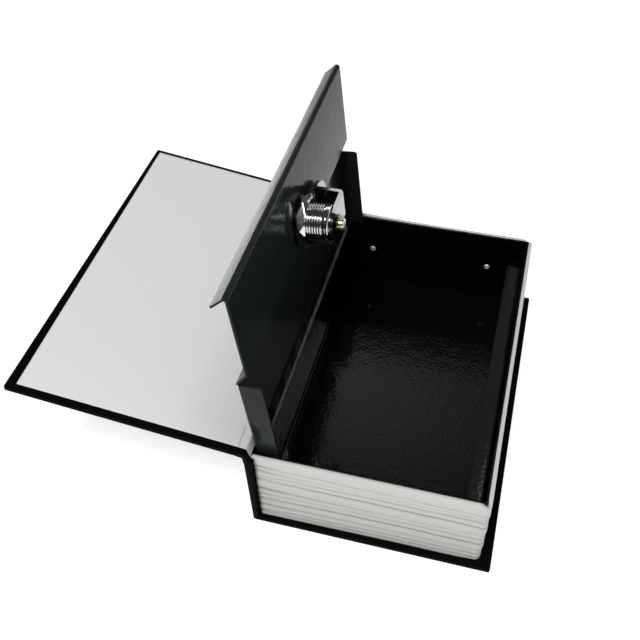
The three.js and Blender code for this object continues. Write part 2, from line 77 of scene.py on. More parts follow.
# Covers
edge_round = 0.4
corner_round = 1.0
cover_sag = 2.4
paper_thickness = 0.2
paper_near_margin = 3.3
paper_far_margin = 2.4
paper_fore_margins = (4.9, 2.4)
paper_joint_margin = 1.0
paper_lift = 0.06
paper_least_lift = 0.01
paper_wave = 0.04
paper_ripple = 0.02
# Painted shade on the endpaper grows between these places, in mm along X, towards the joint
paper_shade_from = -92.0
paper_shade_to = -60.0
turn_in = 14.0
turn_in_step = 0.10
turn_in_run = 2.5
board_edge = 0.2
board_corner = 0.8
spine_foot_gap = 0.05
spine_cloth_over = 0.35
spine_cloth_inside = 0.1

# Crease: where its curves start from the spine's top corners in X and Z, and the u of their knees
crease_radius = 1.0
crease_overlap = 1.4
cloth_start = (0.02, -1.2)
cloth_knee = 0.6
lining_start = (-0.1, -0.6)
paper_start = (0.1, -0.4)
inner_knee = -0.3
paper_under = (-0.12, -0.05)
paper_overlap = (0.5, 0.03)
cloth_face_sink = 0.02
lining_face_sink = 0.01
crinkle_height = 0.12
crinkle_wave = 3.1
crinkle_fade = 9.0

# Page block: layer edges and gaps as shares from the rim down, half way along and at the spine
page_wall = 2.2
inner_corner = 1.0
head_flare = 1.7
flare_length = 60.0
layer_shares = (0.16, 0.22, 0.28, 0.38, 0.52, 0.60, 0.69, 0.79, 0.90, 0.96)
layer_spine_shares = (0.15, 0.23, 0.30, 0.37, 0.53, 0.62, 0.72, 0.82, 0.93, 0.97)
gap_shares = (0.9, 0.4, 0.8, 0.6, 1.0, 0.7, 0.9, 0.6, 1.0, 0.7)
spine_gap_shares = (1.0, 1.0, 0.2, 1.0, 1.0, 1.0, 1.0, 1.0, 1.0, 0.3)
layer_step = 0.18
layer_round = 0.6
gap_depth = 0.5
gap_width = 0.8
wedge_depth = 1.7
wedge_width = 0.9
wedge_length = 5.5
gap_shade_reach = 3.0
layer_power = 2.2
top_layer_share = 0.35
layer_wander = 0.004
layer_ripple = 0.002
settle_length = 22.0
# Painted shade on the page block runs between these heights, darker at the lower one
page_shade_from = 3.0
page_shade_to = 50.0
end_round = 1.8
end_depth_share = 0.8
rim_round = 0.45
foot_round = 0.15
foot_lean = 0.7
lean_length = 70.0
corner_foot = 1.7
corner_reach = 4.5
rim_dip = 1.7
dip_width = 1.1
rim_share = 0.03
rim_band = 0.02
rim_inner_edge = 0.3
least_page_wall = 0.25
tub_gap = 0.02

# Hinge
knuckle_count = 17
knuckle_gap = 0.2
knuckle_edge = 0.3
lid_knuckle_share = 0.92
leaf_sheet = 0.7
leaf_root = 0.7
leaf_clearance = 0.4
lid_leaf_foot = -0.3

# Steel
steel = 1.0
bend_radius = 1.4
steel_edge = 0.16
wall_over_pin = 1.5
tab_inset = 0.2
tab_lift = 0.1
tab_length = 10.0
tab_drop = 1.0
ledge_slope = -0.35
ledge_drop = 0.15
ledge_bend = 1.0
rivet_flange = 1.15
rivet_foot = 0.9
rivet_sink = 0.4
rivet_rise = 0.9
stem_radii = (0.62, 0.55, 0.5, 0)
stem_heights = (0.95, 0.80, 0.35, 0.3)
dome_sweep = 1.05


def node_points(name):
    """The corners of a CAD node in mm."""
    mesh = frame["nodes"][name].data
    flat = np.empty(len(mesh.vertices) * 3, np.float32)
    mesh.vertices.foreach_get("co", flat)
    return flat.reshape(-1, 3).astype(float) / MM


def extent(name):
    """Lowest and highest corner of a CAD node in mm."""
    points = node_points(name)
    return points.min(0), points.max(0)


class Leaf:
    """A flat part on a hinge along Y that rests open. Shut, u runs out from the hinge and h runs up."""

    def __init__(self, joint):
        self.origin = np.array(joints[joint]["pos_m"]) / MM
        angle = math.radians(joints[joint]["range_deg"][1])
        level, upright = math.cos(angle), math.sin(angle)
        self.turn = np.array([[level, 0, -upright], [0, 1, 0], [upright, 0, level]])

    def open(self, points):
        """From u, y and h to the place on the object."""
        return np.asarray(points, float) @ self.turn.T + self.origin

    def shut(self, points):
        """From the place on the object to u, y and h."""
        return (np.asarray(points, float) - self.origin) @ self.turn

    def extent(self, name):
        """Lowest and highest u, y and h of a CAD node."""
        points = self.shut(node_points(name))
        return points.min(0), points.max(0)


lid = Leaf("lid_hinge")
cover = Leaf("cover_close")


# Meshes

def grid_faces(rows, columns, wrap_rows=False, wrap_columns=False):
    """Quads between neighbouring rows and columns of a grid of points kept row by row."""
    row = np.arange(rows if wrap_rows else rows - 1)[:, None]
    column = np.arange(columns if wrap_columns else columns - 1)[None, :]
    next_row = (row + 1) % rows
    next_column = (column + 1) % columns
    corners = [row * columns + column, row * columns + next_column,
               next_row * columns + next_column, next_row * columns + column]
    return np.stack(corners, -1).reshape(-1, 4).tolist()


def tube_faces(rows, columns):
    """Quads of a stack of rings, with a cap on the first and the last ring."""
    faces = grid_faces(rows, columns, wrap_columns=True)
    faces.append(list(range(columns))[::-1])
    faces.append(list(range((rows - 1) * columns, rows * columns)))
    return faces


def joined(*parts):
    """Several (points, faces) pairs as one pair."""
    points, faces, start = [], [], 0
    for part_points, part_faces in parts:
        points.append(np.asarray(part_points, float).reshape(-1, 3))
        faces.extend([[corner + start for corner in face] for face in part_faces])
        start += len(points[-1])
    return np.concatenate(points), faces


def add_piece(name, shape, material, body, replaced=(), bevel=0.0, solid=0.0, sharp=32.0, ride=True):
    """Makes a mesh from (points in mm, faces), welds it, turns its faces out and finishes its edges.

    The bevel is an edge's round and solid is a wall's thickness, both in mm. Edges that turn by more than
    sharp, in degrees, stay crisp.
    """
    points, faces = shape
    mesh = bpy.data.meshes.new(name)
    mesh.from_pydata((np.asarray(points).reshape(-1, 3) * MM).tolist(), [], faces)
    work = bmesh.new()
    work.from_mesh(mesh)
    bmesh.ops.remove_doubles(work, verts=work.verts, dist=weld_reach * MM)
    bmesh.ops.dissolve_degenerate(work, edges=work.edges, dist=least_edge * MM)
    bmesh.ops.recalc_face_normals(work, faces=work.faces)
    work.to_mesh(mesh)
    work.free()
    mesh.materials.append(material)
    mesh.polygons.foreach_set("use_smooth", np.ones(len(mesh.polygons), bool))
    mesh.set_sharp_from_angle(angle=math.radians(sharp))
    piece = bpy.data.objects.new(name, mesh)
    bpy.context.scene.collection.objects.link(piece)
    if solid:
        wall = piece.modifiers.new("wall", "SOLIDIFY")
        wall.thickness = solid * MM
        wall.offset = 0
        wall.use_even_offset = True
    if bevel:
        rounding = piece.modifiers.new("rounding", "BEVEL")
        rounding.width = bevel * MM
        rounding.segments = 3
        rounding.limit_method = "ANGLE"
        rounding.angle_limit = rounding_from
        rounding.harden_normals = True
    if ride:
        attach(piece, body)
    if replaced:
        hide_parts(*replaced)
    return piece


# Outlines and sections

def bent(corners, radius, steps=8):
    """A path of straight runs with a round bend, tangent to both, at each inner corner.

    A bend's points are its centre plus a blend of its first and last radius, weighed by sines of the sweep.
    """
    corners = np.asarray(corners, float)
    path = [corners[:1]]
    for before, corner, after in zip(corners, corners[1:], corners[2:]):
        back = (before - corner) / np.linalg.norm(before - corner)
        ahead = (after - corner) / np.linalg.norm(after - corner)
        half = math.acos(np.clip(back @ ahead, -1, 1)) / 2
        middle = corner + (back + ahead) / np.linalg.norm(back + ahead) * radius / math.sin(half)
        start = corner + back * radius / math.tan(half) - middle
        end = corner + ahead * radius / math.tan(half) - middle
        sweep = math.pi - 2 * half
        share = np.linspace(0, 1, steps + 1)[:, None]
        blend = np.sin((1 - share) * sweep) * start + np.sin(share * sweep) * end
        path.append(middle + blend / math.sin(sweep))
    path.append(corners[-1:])
    return np.concatenate(path)


def side_steps(path):
    """Unit steps to the left of an open path at each of its points."""
    along = np.gradient(path, axis=0)
    along /= np.linalg.norm(along, axis=1)[:, None]
    return np.stack([-along[:, 1], along[:, 0]], 1)


def sheet_section(corners, radius, thickness):
    """The outline of a bent sheet: its middle path moved half its thickness to either side."""
    path = bent(corners, radius)
    step = side_steps(path) * thickness / 2
    return np.concatenate([path + step, (path - step)[::-1]])


def prism(section, y_low, y_high):
    """A closed section of X and Z, or u and h, carried along Y, with flat ends."""
    count = len(section)
    ends = [np.stack([section[:, 0], np.full(count, y), section[:, 1]], 1) for y in (y_low, y_high)]
    return np.concatenate(ends), tube_faces(2, count)


def box(low, high):
    """A plain block between two corners."""
    section = np.array([[low[0], low[2]], [high[0], low[2]], [high[0], high[2]], [low[0], high[2]]])
    return prism(section, low[1], high[1])


def circle(count):
    """Equal steps once round, without the last point."""
    return np.linspace(0, 2 * math.pi, count, endpoint=False)


def path_lengths(path):
    """The length of a path from its start to each of its points."""
    return np.concatenate([[0], np.cumsum(np.linalg.norm(np.diff(path, axis=0), axis=1))])


def rounded_ring(low, high, inset, corner, steps=6):
    """A rectangle drawn in by an inset, with a quarter circle about the centre of each corner in turn."""
    radius = max(corner - inset, least_corner)
    x_low, y_low = low[0] + inset + radius, low[1] + inset + radius
    x_high, y_high = high[0] - inset - radius, high[1] - inset - radius
    centres = np.array([[x_high, y_high], [x_low, y_high], [x_low, y_low], [x_high, y_low]])
    angle = np.arange(4)[:, None] * math.pi / 2 + np.linspace(0, math.pi / 2, steps + 1)
    return (centres[:, None] + radius * np.stack([np.cos(angle), np.sin(angle)], -1)).reshape(-1, 2)


def slab(low, high, edge, corner, steps=5):
    """A board of nested rounded rectangles: flat rings below, a round edge, and flat rings above."""
    turn = np.linspace(0, math.pi / 2, steps + 1)
    widest = min(high[0] - low[0], high[1] - low[1]) / 2
    flat = edge + (widest * slab_fill - edge) * np.linspace(1, 0, slab_rings)[:-1]
    insets = np.concatenate([flat, edge * (1 - np.sin(turn)), edge * (1 - np.cos(turn)), flat[::-1]])
    heights = np.concatenate([np.full(len(flat), low[2]), low[2] + edge * (1 - np.cos(turn)),
                              high[2] - edge * (1 - np.sin(turn)), np.full(len(flat), high[2])])
    rings = np.stack([rounded_ring(low, high, inset, corner) for inset in insets])
    levels = np.broadcast_to(heights[:, None, None], (*rings.shape[:2], 1))
    return np.concatenate([rings, levels], -1).reshape(-1, 3), tube_faces(*rings.shape[:2])


def turned(profile, sides=64):
    """Radius and height pairs turned about the third axis. Radius zero closes an end."""
    profile = np.asarray(profile, float)
    angle = circle(sides)[None, :]
    radius, height = profile[:, :1], profile[:, 1:2]
    points = np.stack([radius * np.cos(angle), radius * np.sin(angle), height + 0 * angle], -1)
    return points.reshape(-1, 3), grid_faces(len(profile), sides, wrap_columns=True)


def ring_solid(radius_of, heights, bore, sides=96):
    """A ring about the third axis with a round bore. Its outer radius is a function of angle and height."""
    angle = circle(sides)[None, :]
    height = np.asarray(heights, float)[:, None]
    outer = radius_of(angle, height) + 0 * angle * height
    inner = np.full_like(outer, bore)
    radius = np.concatenate([outer, inner[::-1]])
    level = np.concatenate([height, height[::-1]]) + 0 * angle
    spin = angle + 0 * radius
    points = np.stack([radius * np.cos(spin), radius * np.sin(spin), level], -1)
    return points.reshape(-1, 3), grid_faces(len(radius), sides, wrap_rows=True, wrap_columns=True)


def smooth_step(value):
    """From 0 to 1 with a level start and end: three times the square less twice the cube."""
    value = np.clip(value, 0, 1)
    return value * value * (3 - 2 * value)


# Materials

# The sockets of a colour mix: its share, first and second colour, and its result
mix_sockets = (0, 6, 7)
mix_result = 2


class Finish:
    """A material with a principled shader, built node by node on Object coordinates."""

    def __init__(self, name, color, roughness, metallic=0.0, **constant):
        self.material = bpy.data.materials.new(name)
        self.material.use_nodes = True
        self.tree = self.material.node_tree
        self.shader = self.tree.nodes["Principled BSDF"]
        self.shader.inputs["Base Color"].default_value = (*color, 1)
        self.shader.inputs["Roughness"].default_value = roughness
        self.shader.inputs["Metallic"].default_value = metallic
        for socket, value in constant.items():
            self.shader.inputs[socket.replace("_", " ")].default_value = value
        self.place = self.tree.nodes.new("ShaderNodeTexCoord").outputs["Object"]
        self.normal = None

    def node(self, kind, **values):
        """A new node. A value goes to the socket of its name, or else to the node's own setting."""
        node = self.tree.nodes.new("ShaderNode" + kind)
        for key, value in values.items():
            if key in node.inputs:
                node.inputs[key].default_value = value
            else:
                setattr(node, key, value)
        return node

    def link(self, source, target):
        self.tree.links.new(source, target)

    def along(self, axis):
        """The place along one axis, in metres."""
        split = self.node("SeparateXYZ")
        self.link(self.place, split.inputs[0])
        return split.outputs[axis]

    def stretched(self, scale):
        """Places for a pattern that is drawn out along the axes with a low scale."""
        mapping = self.node("Mapping")
        mapping.inputs["Scale"].default_value = scale
        self.link(self.place, mapping.inputs["Vector"])
        return mapping.outputs["Vector"]

    def noise(self, scale, detail=2.0, rough=0.5, place=None):
        """Cloudy noise with about as many clouds to the metre as its scale says."""
        node = self.node("TexNoise", Scale=scale, Detail=detail, Roughness=rough)
        self.link(place or self.place, node.inputs["Vector"])
        return node.outputs["Fac"]

    def cells(self, scale):
        """The distance to the nearest of many scattered points."""
        node = self.node("TexVoronoi", Scale=scale)
        self.link(self.place, node.inputs["Vector"])
        return node.outputs["Distance"]

    def curve(self, source, low, high, out_low, out_high):
        """A straight ramp between two values, level before and after."""
        node = self.node("MapRange", clamp=True)
        ends = {"From Min": low, "From Max": high, "To Min": out_low, "To Max": out_high}
        for socket, value in ends.items():
            node.inputs[socket].default_value = value
        self.link(source, node.inputs["Value"])
        return node.outputs["Result"]

    def product(self, first, second):
        """One value times another."""
        node = self.node("Math", operation="MULTIPLY")
        self.link(first, node.inputs[0])
        self.link(second, node.inputs[1])
        return node.outputs[0]

    def bump(self, height, depth, strength=1.0):
        """Relief of a depth in mm, on top of what earlier calls gave."""
        node = self.node("Bump", Strength=strength, Distance=depth * MM)
        self.link(height, node.inputs["Height"])
        if self.normal:
            self.link(self.normal, node.inputs["Normal"])
        self.normal = node.outputs["Normal"]
        self.link(self.normal, self.shader.inputs["Normal"])

    def mixed(self, share, first, second, way="MIX"):
        """Two colours mixed by a share. Numbers and tuples are set, and anything else is linked."""
        node = self.node("Mix", data_type="RGBA", blend_type=way)
        for socket, value in zip(mix_sockets, (share, first, second)):
            if isinstance(value, (float, tuple)):
                node.inputs[socket].default_value = value
            else:
                self.link(value, node.inputs[socket])
        return node.outputs[mix_result]

    def vary_color(self, source, first, second):
        """The base colour runs from the first to the second as the source goes from 0 to 1."""
        self.link(self.mixed(source, (*first, 1), (*second, 1)), self.shader.inputs["Base Color"])

    def vary_roughness(self, source, low, high):
        """The roughness runs from low to high over the middle of a noise's range."""
        self.link(self.curve(source, 0.3, 0.7, low, high), self.shader.inputs["Roughness"])


def leatherette_finish():
    """Black book cloth: a pebbled grain of half a millimetre, slow relief and a film of uneven gloss."""
    finish = Finish("black_leatherette", (0.0025, 0.0025, 0.003), 0.5, Specular_IOR_Level=0.015)
    finish.vary_color(finish.noise(60.0, 3), (0.002, 0.002, 0.0023), (0.0036, 0.0036, 0.004))
    finish.vary_roughness(finish.noise(900.0, 3), 0.42, 0.62)
    finish.bump(finish.cells(1700.0), 0.10, 0.5)
    finish.bump(finish.noise(220.0, 2), 0.10, 0.3)
    return finish.material


def paper_finish():
    """White endpaper: smooth, with faint fibres and slow relief, and painted shade that greys it towards
    the joint.
    """
    finish = Finish("white_endpaper", (0.80, 0.80, 0.81), 0.62, Specular_IOR_Level=0.3)
    fibres = finish.noise(900.0, 5, 0.6, finish.stretched((1.0, 0.35, 1.0)))
    # Painted shade: the endpaper greys towards the joint, where the lid shades it.
    painted_joint_shade = finish.curve(finish.along("X"), paper_shade_from * MM, paper_shade_to * MM, 0.0, 1.0)
    finish.vary_color(painted_joint_shade, (0.80, 0.80, 0.805), (0.62, 0.62, 0.625))
    finish.vary_roughness(fibres, 0.55, 0.7)
    finish.bump(fibres, 0.02, 0.3)
    finish.bump(finish.noise(45.0, 2), 0.25, 0.25)
    return finish.material


def page_finish():
    """Moulded off-white page block: matt plastic with fine lines along the pages, and painted shade that
    greys it towards its foot.

    Painted shade also darkens the hollow of a gap, by how much of its surroundings lies within the shade's
    reach.
    """
    finish = Finish("page_plastic", (0.70, 0.71, 0.68), 0.42, Specular_IOR_Level=0.4)
    # Painted shade: the block darkens from its rim down towards its foot.
    rise = finish.curve(finish.along("Z"), page_shade_from * MM, page_shade_to * MM, 0.0, 1.0)
    tone = finish.mixed(rise, (0.45, 0.455, 0.43, 1), (0.63, 0.635, 0.61, 1))
    # Painted shade: an ambient occlusion node darkens the base colour in the gaps between layers.
    hollow = finish.node("AmbientOcclusion", samples=8, Distance=gap_shade_reach * MM)
    shade = finish.curve(hollow.outputs["AO"], 0.25, 0.95, 0.2, 1.0)
    finish.link(finish.mixed(1.0, tone, shade, "MULTIPLY"), finish.shader.inputs["Base Color"])
    finish.vary_roughness(finish.noise(300.0, 3), 0.36, 0.5)
    finish.bump(finish.noise(520.0, 3, 0.55, finish.stretched((0.05, 0.05, 1.3))), 0.35, 0.5)
    finish.bump(finish.noise(900.0, 3), 0.02, 0.4)
    return finish.material


def board_finish():
    """Grey binding board: pressed fibre with flecks."""
    finish = Finish("grey_board", (0.33, 0.30, 0.26), 0.9)
    finish.vary_color(finish.noise(800.0, 5, 0.7), (0.28, 0.25, 0.21), (0.40, 0.37, 0.33))
    finish.bump(finish.noise(1500.0, 4), 0.05, 0.5)
    return finish.material


def powder_coat_finish(name, shade, gloss, rough=0.14, grain=0.10):
    """Gloss powder coat: orange peel with wrinkles of one to two millimetres over slow waves."""
    dark, light = 0.85 * np.array(shade), 1.2 * np.array(shade)
    finish = Finish(name, shade, rough, Specular_IOR_Level=gloss)
    finish.vary_color(finish.noise(90.0, 3), tuple(dark), tuple(light))
    finish.vary_roughness(finish.noise(500.0, 3), 0.8 * rough, 1.3 * rough)
    finish.bump(finish.noise(620.0, 1.5, 0.4), grain, 0.7)
    finish.bump(finish.noise(150.0, 1.0, 0.4), 2.2 * grain, 0.35)
    return finish.material


def chrome_finish():
    """Bright plate with a little haze and a very fine grain."""
    finish = Finish("chrome_plate", (0.72, 0.74, 0.73), 0.06, 1.0)
    finish.vary_roughness(finish.noise(600.0, 4), 0.04, 0.09)
    finish.bump(finish.noise(2500.0, 2), 0.002, 0.4)
    return finish.material


def zinc_finish(name, shade):
    """Zinc plate on pressed steel: satin and cloudy, with a fine grain."""
    finish = Finish(name, (shade, shade, shade), 0.14, 1.0)
    finish.vary_color(finish.noise(250.0, 4), (0.94 * shade, 0.97 * shade, 0.96 * shade),
                      (1.08 * shade, 1.10 * shade, 1.09 * shade))
    finish.vary_roughness(finish.noise(700.0, 4), 0.10, 0.18)
    finish.bump(finish.noise(900.0, 2), 0.003, 0.4)
    return finish.material


def brass_finish():
    """Yellow passivated screw and plug: satin metal with a green-gold cast."""
    finish = Finish("yellow_brass", (0.74, 0.68, 0.42), 0.22, 1.0)
    finish.vary_color(finish.noise(900.0, 3), (0.68, 0.60, 0.32), (0.80, 0.76, 0.52))
    finish.vary_roughness(finish.noise(900.0, 3), 0.16, 0.32)
    finish.bump(finish.noise(2500.0, 2), 0.004, 0.4)
    return finish.material


def rivet_finish():
    """Bare aluminium of blind rivets, dulled by handling."""
    finish = Finish("rivet_aluminium", (0.80, 0.81, 0.81), 0.5, 0.8)
    finish.vary_roughness(finish.noise(1500.0, 3), 0.42, 0.6)
    finish.bump(finish.noise(3000.0, 2), 0.004, 0.5)
    return finish.material


leatherette = leatherette_finish()
paper = paper_finish()
page_plastic = page_finish()
greyboard = board_finish()
tub_coat = powder_coat_finish("black_powder_coat", (0.0017, 0.0021, 0.0021), 0.25, 0.08, 0.065)
# Painted light: the lid's coat is the tub's black powder coat with a lighter base, for the lid's brighter
# inner face.
lid_coat = powder_coat_finish("lit_black_powder_coat", (0.0126, 0.0165, 0.0158), 0.088, 0.15, 0.12)
chrome = chrome_finish()
zinc = zinc_finish("zinc_plate", 0.27)
# Painted shade: both washers take this darkened zinc to stand in for the shadow round the nut and the
# screw.
washer_shade_zinc = zinc_finish("washer_shade_zinc_plate", 0.05)
# Painted highlight: the hinge knuckles are lighter grey than the black coat, standing in for the light line
# along them.
knuckle_highlight_coat = powder_coat_finish("knuckle_highlight_powder_coat", (0.10, 0.108, 0.106), 0.4, 0.5, 0.5)
brass = brass_finish()
rivet_metal = rivet_finish()


# Covers

def back_cover():
    """The back board in its cloth: nested rounded rectangles with a round edge."""
    low, high = extent("back_cover_skin")
    add_piece("back_cover_cloth", slab(low, high, edge_round, corner_round), leatherette, "book_body",
              ("back_cover_skin",))


def spine():
    """The spine's board in its cloth: rounded rectangles stacked from its outer to its inner face."""
    low, high = extent("spine_skin")
    board_high = extent("spine_board")[1]
    flat_low = np.array([low[1], low[2] + spine_foot_gap, 0.0])
    deep = board_high[0] + spine_cloth_inside - low[0]
    flat_high = np.array([high[1], board_high[2] + spine_cloth_over, deep])
    points, faces = slab(flat_low, flat_high, edge_round, corner_round)
    upright = np.stack([low[0] + points[:, 2], points[:, 0], points[:, 1]], 1)
    add_piece("spine_cloth", (upright, faces), leatherette, "book_body", ("spine_skin",))


def sagged(points):
    """The open cover hangs lower towards its free corner at the near end.

    The sag grows evenly with u, out to the free edge, and evenly from the far end to the near one.
    """
    low, high = cover.extent("front_cover_skin")
    points = np.asarray(points, float).reshape(-1, 3).copy()
    toward_near = (high[1] - points[:, 1]) / (high[1] - low[1])
    points[:, 2] += cover_sag * points[:, 0] / high[0] * toward_near
    return cover.open(points)


def front_cover():
    """The front board and its cloth: nested rounded rectangles, made to sag and turned open."""
    low, high = cover.extent("front_cover_skin")
    points, faces = slab(low, high, edge_round, corner_round)
    add_piece("front_cover_cloth", (sagged(points), faces), leatherette, "front_cover",
              ("front_cover_skin",))
    points, faces = slab(*cover.extent("front_cover_board"), board_edge, board_corner)
    add_piece("front_cover_core", (sagged(points), faces), greyboard, "front_cover",
              ("front_cover_board",))


def endpaper():
    """A sheet of paper, cut a little out of square: a grid of u and y whose h is a step and slow waves.

    It dips by the step where the board has no turned-in cloth under it.
    """
    skin_low, skin_high = cover.extent("front_cover_skin")
    near, far = skin_low[1] + paper_near_margin, skin_high[1] - paper_far_margin
    along, across = np.meshgrid(np.linspace(0, 1, 90), np.linspace(0, 1, 140), indexing="ij")
    y = near + (far - near) * across
    start = skin_low[0] + paper_joint_margin
    fore_margin = paper_fore_margins[0] + (paper_fore_margins[1] - paper_fore_margins[0]) * across
    u = start + (skin_high[0] - fore_margin - start) * along
    inward = np.minimum(skin_high[0] - u, np.minimum(y - skin_low[1], skin_high[1] - y)) - turn_in
    step = turn_in_step * smooth_step(inward / turn_in_run + 0.5)
    waves = paper_wave * np.sin(u / 23 + 1.1) * np.sin(y / 31 + 0.4) + paper_ripple * np.sin(u / 9 + y / 27)
    face = skin_low[2] - paper_thickness / 2
    h = np.minimum(face - paper_lift + step + waves, face - paper_least_lift)
    sheet = np.stack([u, y, h], -1)
    add_piece("front_endpaper_sheet", (sagged(sheet), grid_faces(*u.shape)), paper, "front_cover",
              ("front_endpaper",), solid=paper_thickness)


def crease():
    """The joint of spine and front board: cloth, and paper on it, from the spine's top to the board.

    Each layer lies between an outer and an inner curve, both straight runs with a round knee. Its rings go
    along Y on the outer curve and back on the inner one. The paper bulges in fading waves at its near end.
    """
    skin_low, skin_high = cover.extent("front_cover_skin")
    inner_x, top = extent("spine_board")[1][[0, 2]]
    outer_x = extent("spine_skin")[0][0]
    share = np.linspace(0, 1, 17)

    def on_cover(u, h):
        """The X and Z of a place on the open cover."""
        return cover.open([[u, 0, h]])[0][[0, 2]]

    def curve(start, knee, end):
        """Evenly spaced points in X and Z along two straight runs and their knee."""
        path = bent([start, knee, end], crease_radius, 14)
        lengths = path_lengths(path)
        return np.stack([np.interp(share * lengths[-1], lengths, path[:, axis]) for axis in (0, 1)], 1)

    cloth_u = skin_low[0] + crease_overlap
    cloth_outer, cloth_inner = skin_high[2] - cloth_face_sink, skin_low[2] + lining_face_sink
    paper_h = skin_low[2] - paper_thickness
    outer = curve(np.add((outer_x, top), cloth_start), on_cover(cloth_knee, cloth_outer),
                  on_cover(cloth_u, cloth_outer))
    inner = curve(np.add((inner_x, top), lining_start), on_cover(inner_knee, cloth_inner),
                  on_cover(cloth_u, cloth_inner))
    sheet_end = on_cover(skin_low[0] + paper_joint_margin + paper_overlap[0], paper_h + paper_overlap[1])
    sheet_inner = curve(np.add((inner_x, top), paper_start), on_cover(inner_knee, paper_h), sheet_end)
    cloth_half = skin_high[1]
    paper_half = skin_high[1] - paper_near_margin
    sheet_outer = inner + paper_under
    layers = (("crease_cloth", outer, inner, cloth_half, 0.0, leatherette, "leatherette", ("joint_strip",)),
              ("crease_paper", sheet_outer, sheet_inner, paper_half, crinkle_height, paper, "paper", ()))
    for name, below, above, half, crinkle, finish, slot, replaced in layers:
        rows = np.linspace(-half, half, 41)
        bulge = crinkle * np.sin(rows / crinkle_wave) * np.exp(-(half + rows) / crinkle_fade)
        bulge = bulge * np.sin(math.pi * share)[:, None]
        back = (above[:, None] + bulge[..., None])[:, ::-1]
        across = np.concatenate([np.broadcast_to(below[:, None], back.shape), back], 1)
        y = np.broadcast_to(np.concatenate([rows, rows[::-1]]), across.shape[:2])
        points = np.stack([across[..., 0], y, across[..., 1]], -1)
        piece = add_piece(name, (points.reshape(-1, 3), tube_faces(*y.shape)), finish, "front_cover",
                          replaced, ride=False, sharp=50)
        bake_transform(piece)


back_cover()
spine()
front_cover()
endpaper()
crease()


# Page block

def page_path(inner_x, inner_y, start_x):
    """The strip's inner face seen from above: straight runs with a quarter circle at each fore corner.

    Gives points, outward directions and distances along the path from the spine's near end.
    """
    corner = inner_corner
    centre_x, centre_y = inner_x - corner, inner_y - corner
    near = np.linspace(start_x, centre_x, 96)
    fore = np.linspace(-centre_y, centre_y, 110)[1:-1]
    quarter = np.linspace(0, math.pi / 2, 12)
    sine, cosine = np.sin(quarter), np.cos(quarter)
    path = np.concatenate([
        np.stack([near, np.full_like(near, -inner_y)], 1),
        np.stack([centre_x + corner * sine, -centre_y - corner * cosine], 1)[1:],
        np.stack([np.full_like(fore, inner_x), fore], 1),
        np.stack([centre_x + corner * cosine, centre_y + corner * sine], 1),
        np.stack([near[::-1], np.full_like(near, inner_y)], 1)[1:]])
    outward = np.concatenate([
        np.tile([0.0, -1.0], (len(near), 1)), np.stack([sine, -cosine], 1)[1:],
        np.tile([1.0, 0.0], (len(fore), 1)), np.stack([cosine, sine], 1),
        np.tile([0.0, 1.0], (len(near) - 1, 1))])
    return path, outward, path_lengths(path)


def round_over(reach, inward):
    """How far a quarter round of a reach lies back, at shares of 1 on its rim and 0 where it ends."""
    return reach * (1 - np.sqrt(1 - np.clip(inward, 0, 1) ** 2))


def layer_edges(distance, from_spine):
    """The share of the height, from the rim down, at which each layer ends, all along the path.

    Each wanders in slow waves and settles to its share at the spine.
    """
    settle = np.exp(-from_spine / settle_length)
    edges = [np.zeros_like(distance)]
    for index, (share, spine_share) in enumerate(zip(layer_shares, layer_spine_shares)):
        slow = layer_wander * np.sin(distance / (19 + 3 * index) + 1.7 * index)
        quick = layer_ripple * np.sin(distance / 6.1 + index)
        edges.append(share + (spine_share - share) * settle + (slow + quick) * (1 - settle))
    edges.append(np.ones_like(distance))
    return [edge[:, None] for edge in edges]


def page_depths(distance, level, height, corners):
    """How far the outer face lies back: layers, gaps that open into wedges at the spine, rounds and a lean.

    A layer's depth is a slow wave plus a power of the way from its middle to its edge. A gap is a bell
    curve across the height. Its depth and width grow towards the spine as the wedge fades in.
    """
    from_spine = np.minimum(distance, distance[-1] - distance)
    down = 1 - level[None, :]
    edges = layer_edges(distance, from_spine)
    depth = np.zeros((len(distance), len(level)))
    for index, (first, last) in enumerate(zip(edges, edges[1:])):
        inside = (down >= first) & (down < last if index < len(edges) - 2 else down <= last)
        across = np.clip((down - first) / (last - first), 0, 1)
        step = layer_step * np.sin(distance / (31 + 7 * index) + 2.3 * index)[:, None] * (index > 0)
        swell = 0.6 + 0.4 * np.sin(distance / (23 + 5 * index) + 4.1 * index)[:, None]
        top_share = top_layer_share if index == 0 else 1
        round_off = layer_round * swell * np.abs(2 * across - 1) ** layer_power * top_share
        depth += inside * (layer_step + step + round_off)
    wedge = np.exp(-from_spine / wedge_length)[:, None]
    for index, (gap, spine_gap) in enumerate(zip(gap_shares, spine_gap_shares)):
        fade = 0.55 + 0.45 * np.sin(distance / (21 + 4 * index) + 2.1 * index)[:, None]
        width = gap_width + wedge_width * spine_gap * wedge
        offset = (down - edges[index + 1]) * height
        depth += (gap_depth * gap * fade + wedge_depth * spine_gap * wedge) * np.exp(-(offset / width) ** 2)
    end = (1 - from_spine / end_round)[:, None]
    depth += round_over(end_depth_share * end_round, end) * (down > rim_band)
    near_corner = sum(np.exp(-((distance - place) / corner_reach) ** 2) for place in corners)[:, None]
    for reach, weight in ((foot_round, 1.0), (corner_foot, near_corner)):
        depth += weight * round_over(reach, 1 - level[None, :] * height / reach)
    depth += round_over(rim_round, 1 - down * height / rim_round)
    lean = foot_lean * np.clip(1 - distance / lean_length, 0, 1)[:, None] * down
    return np.minimum(depth, page_wall - least_page_wall) - lean


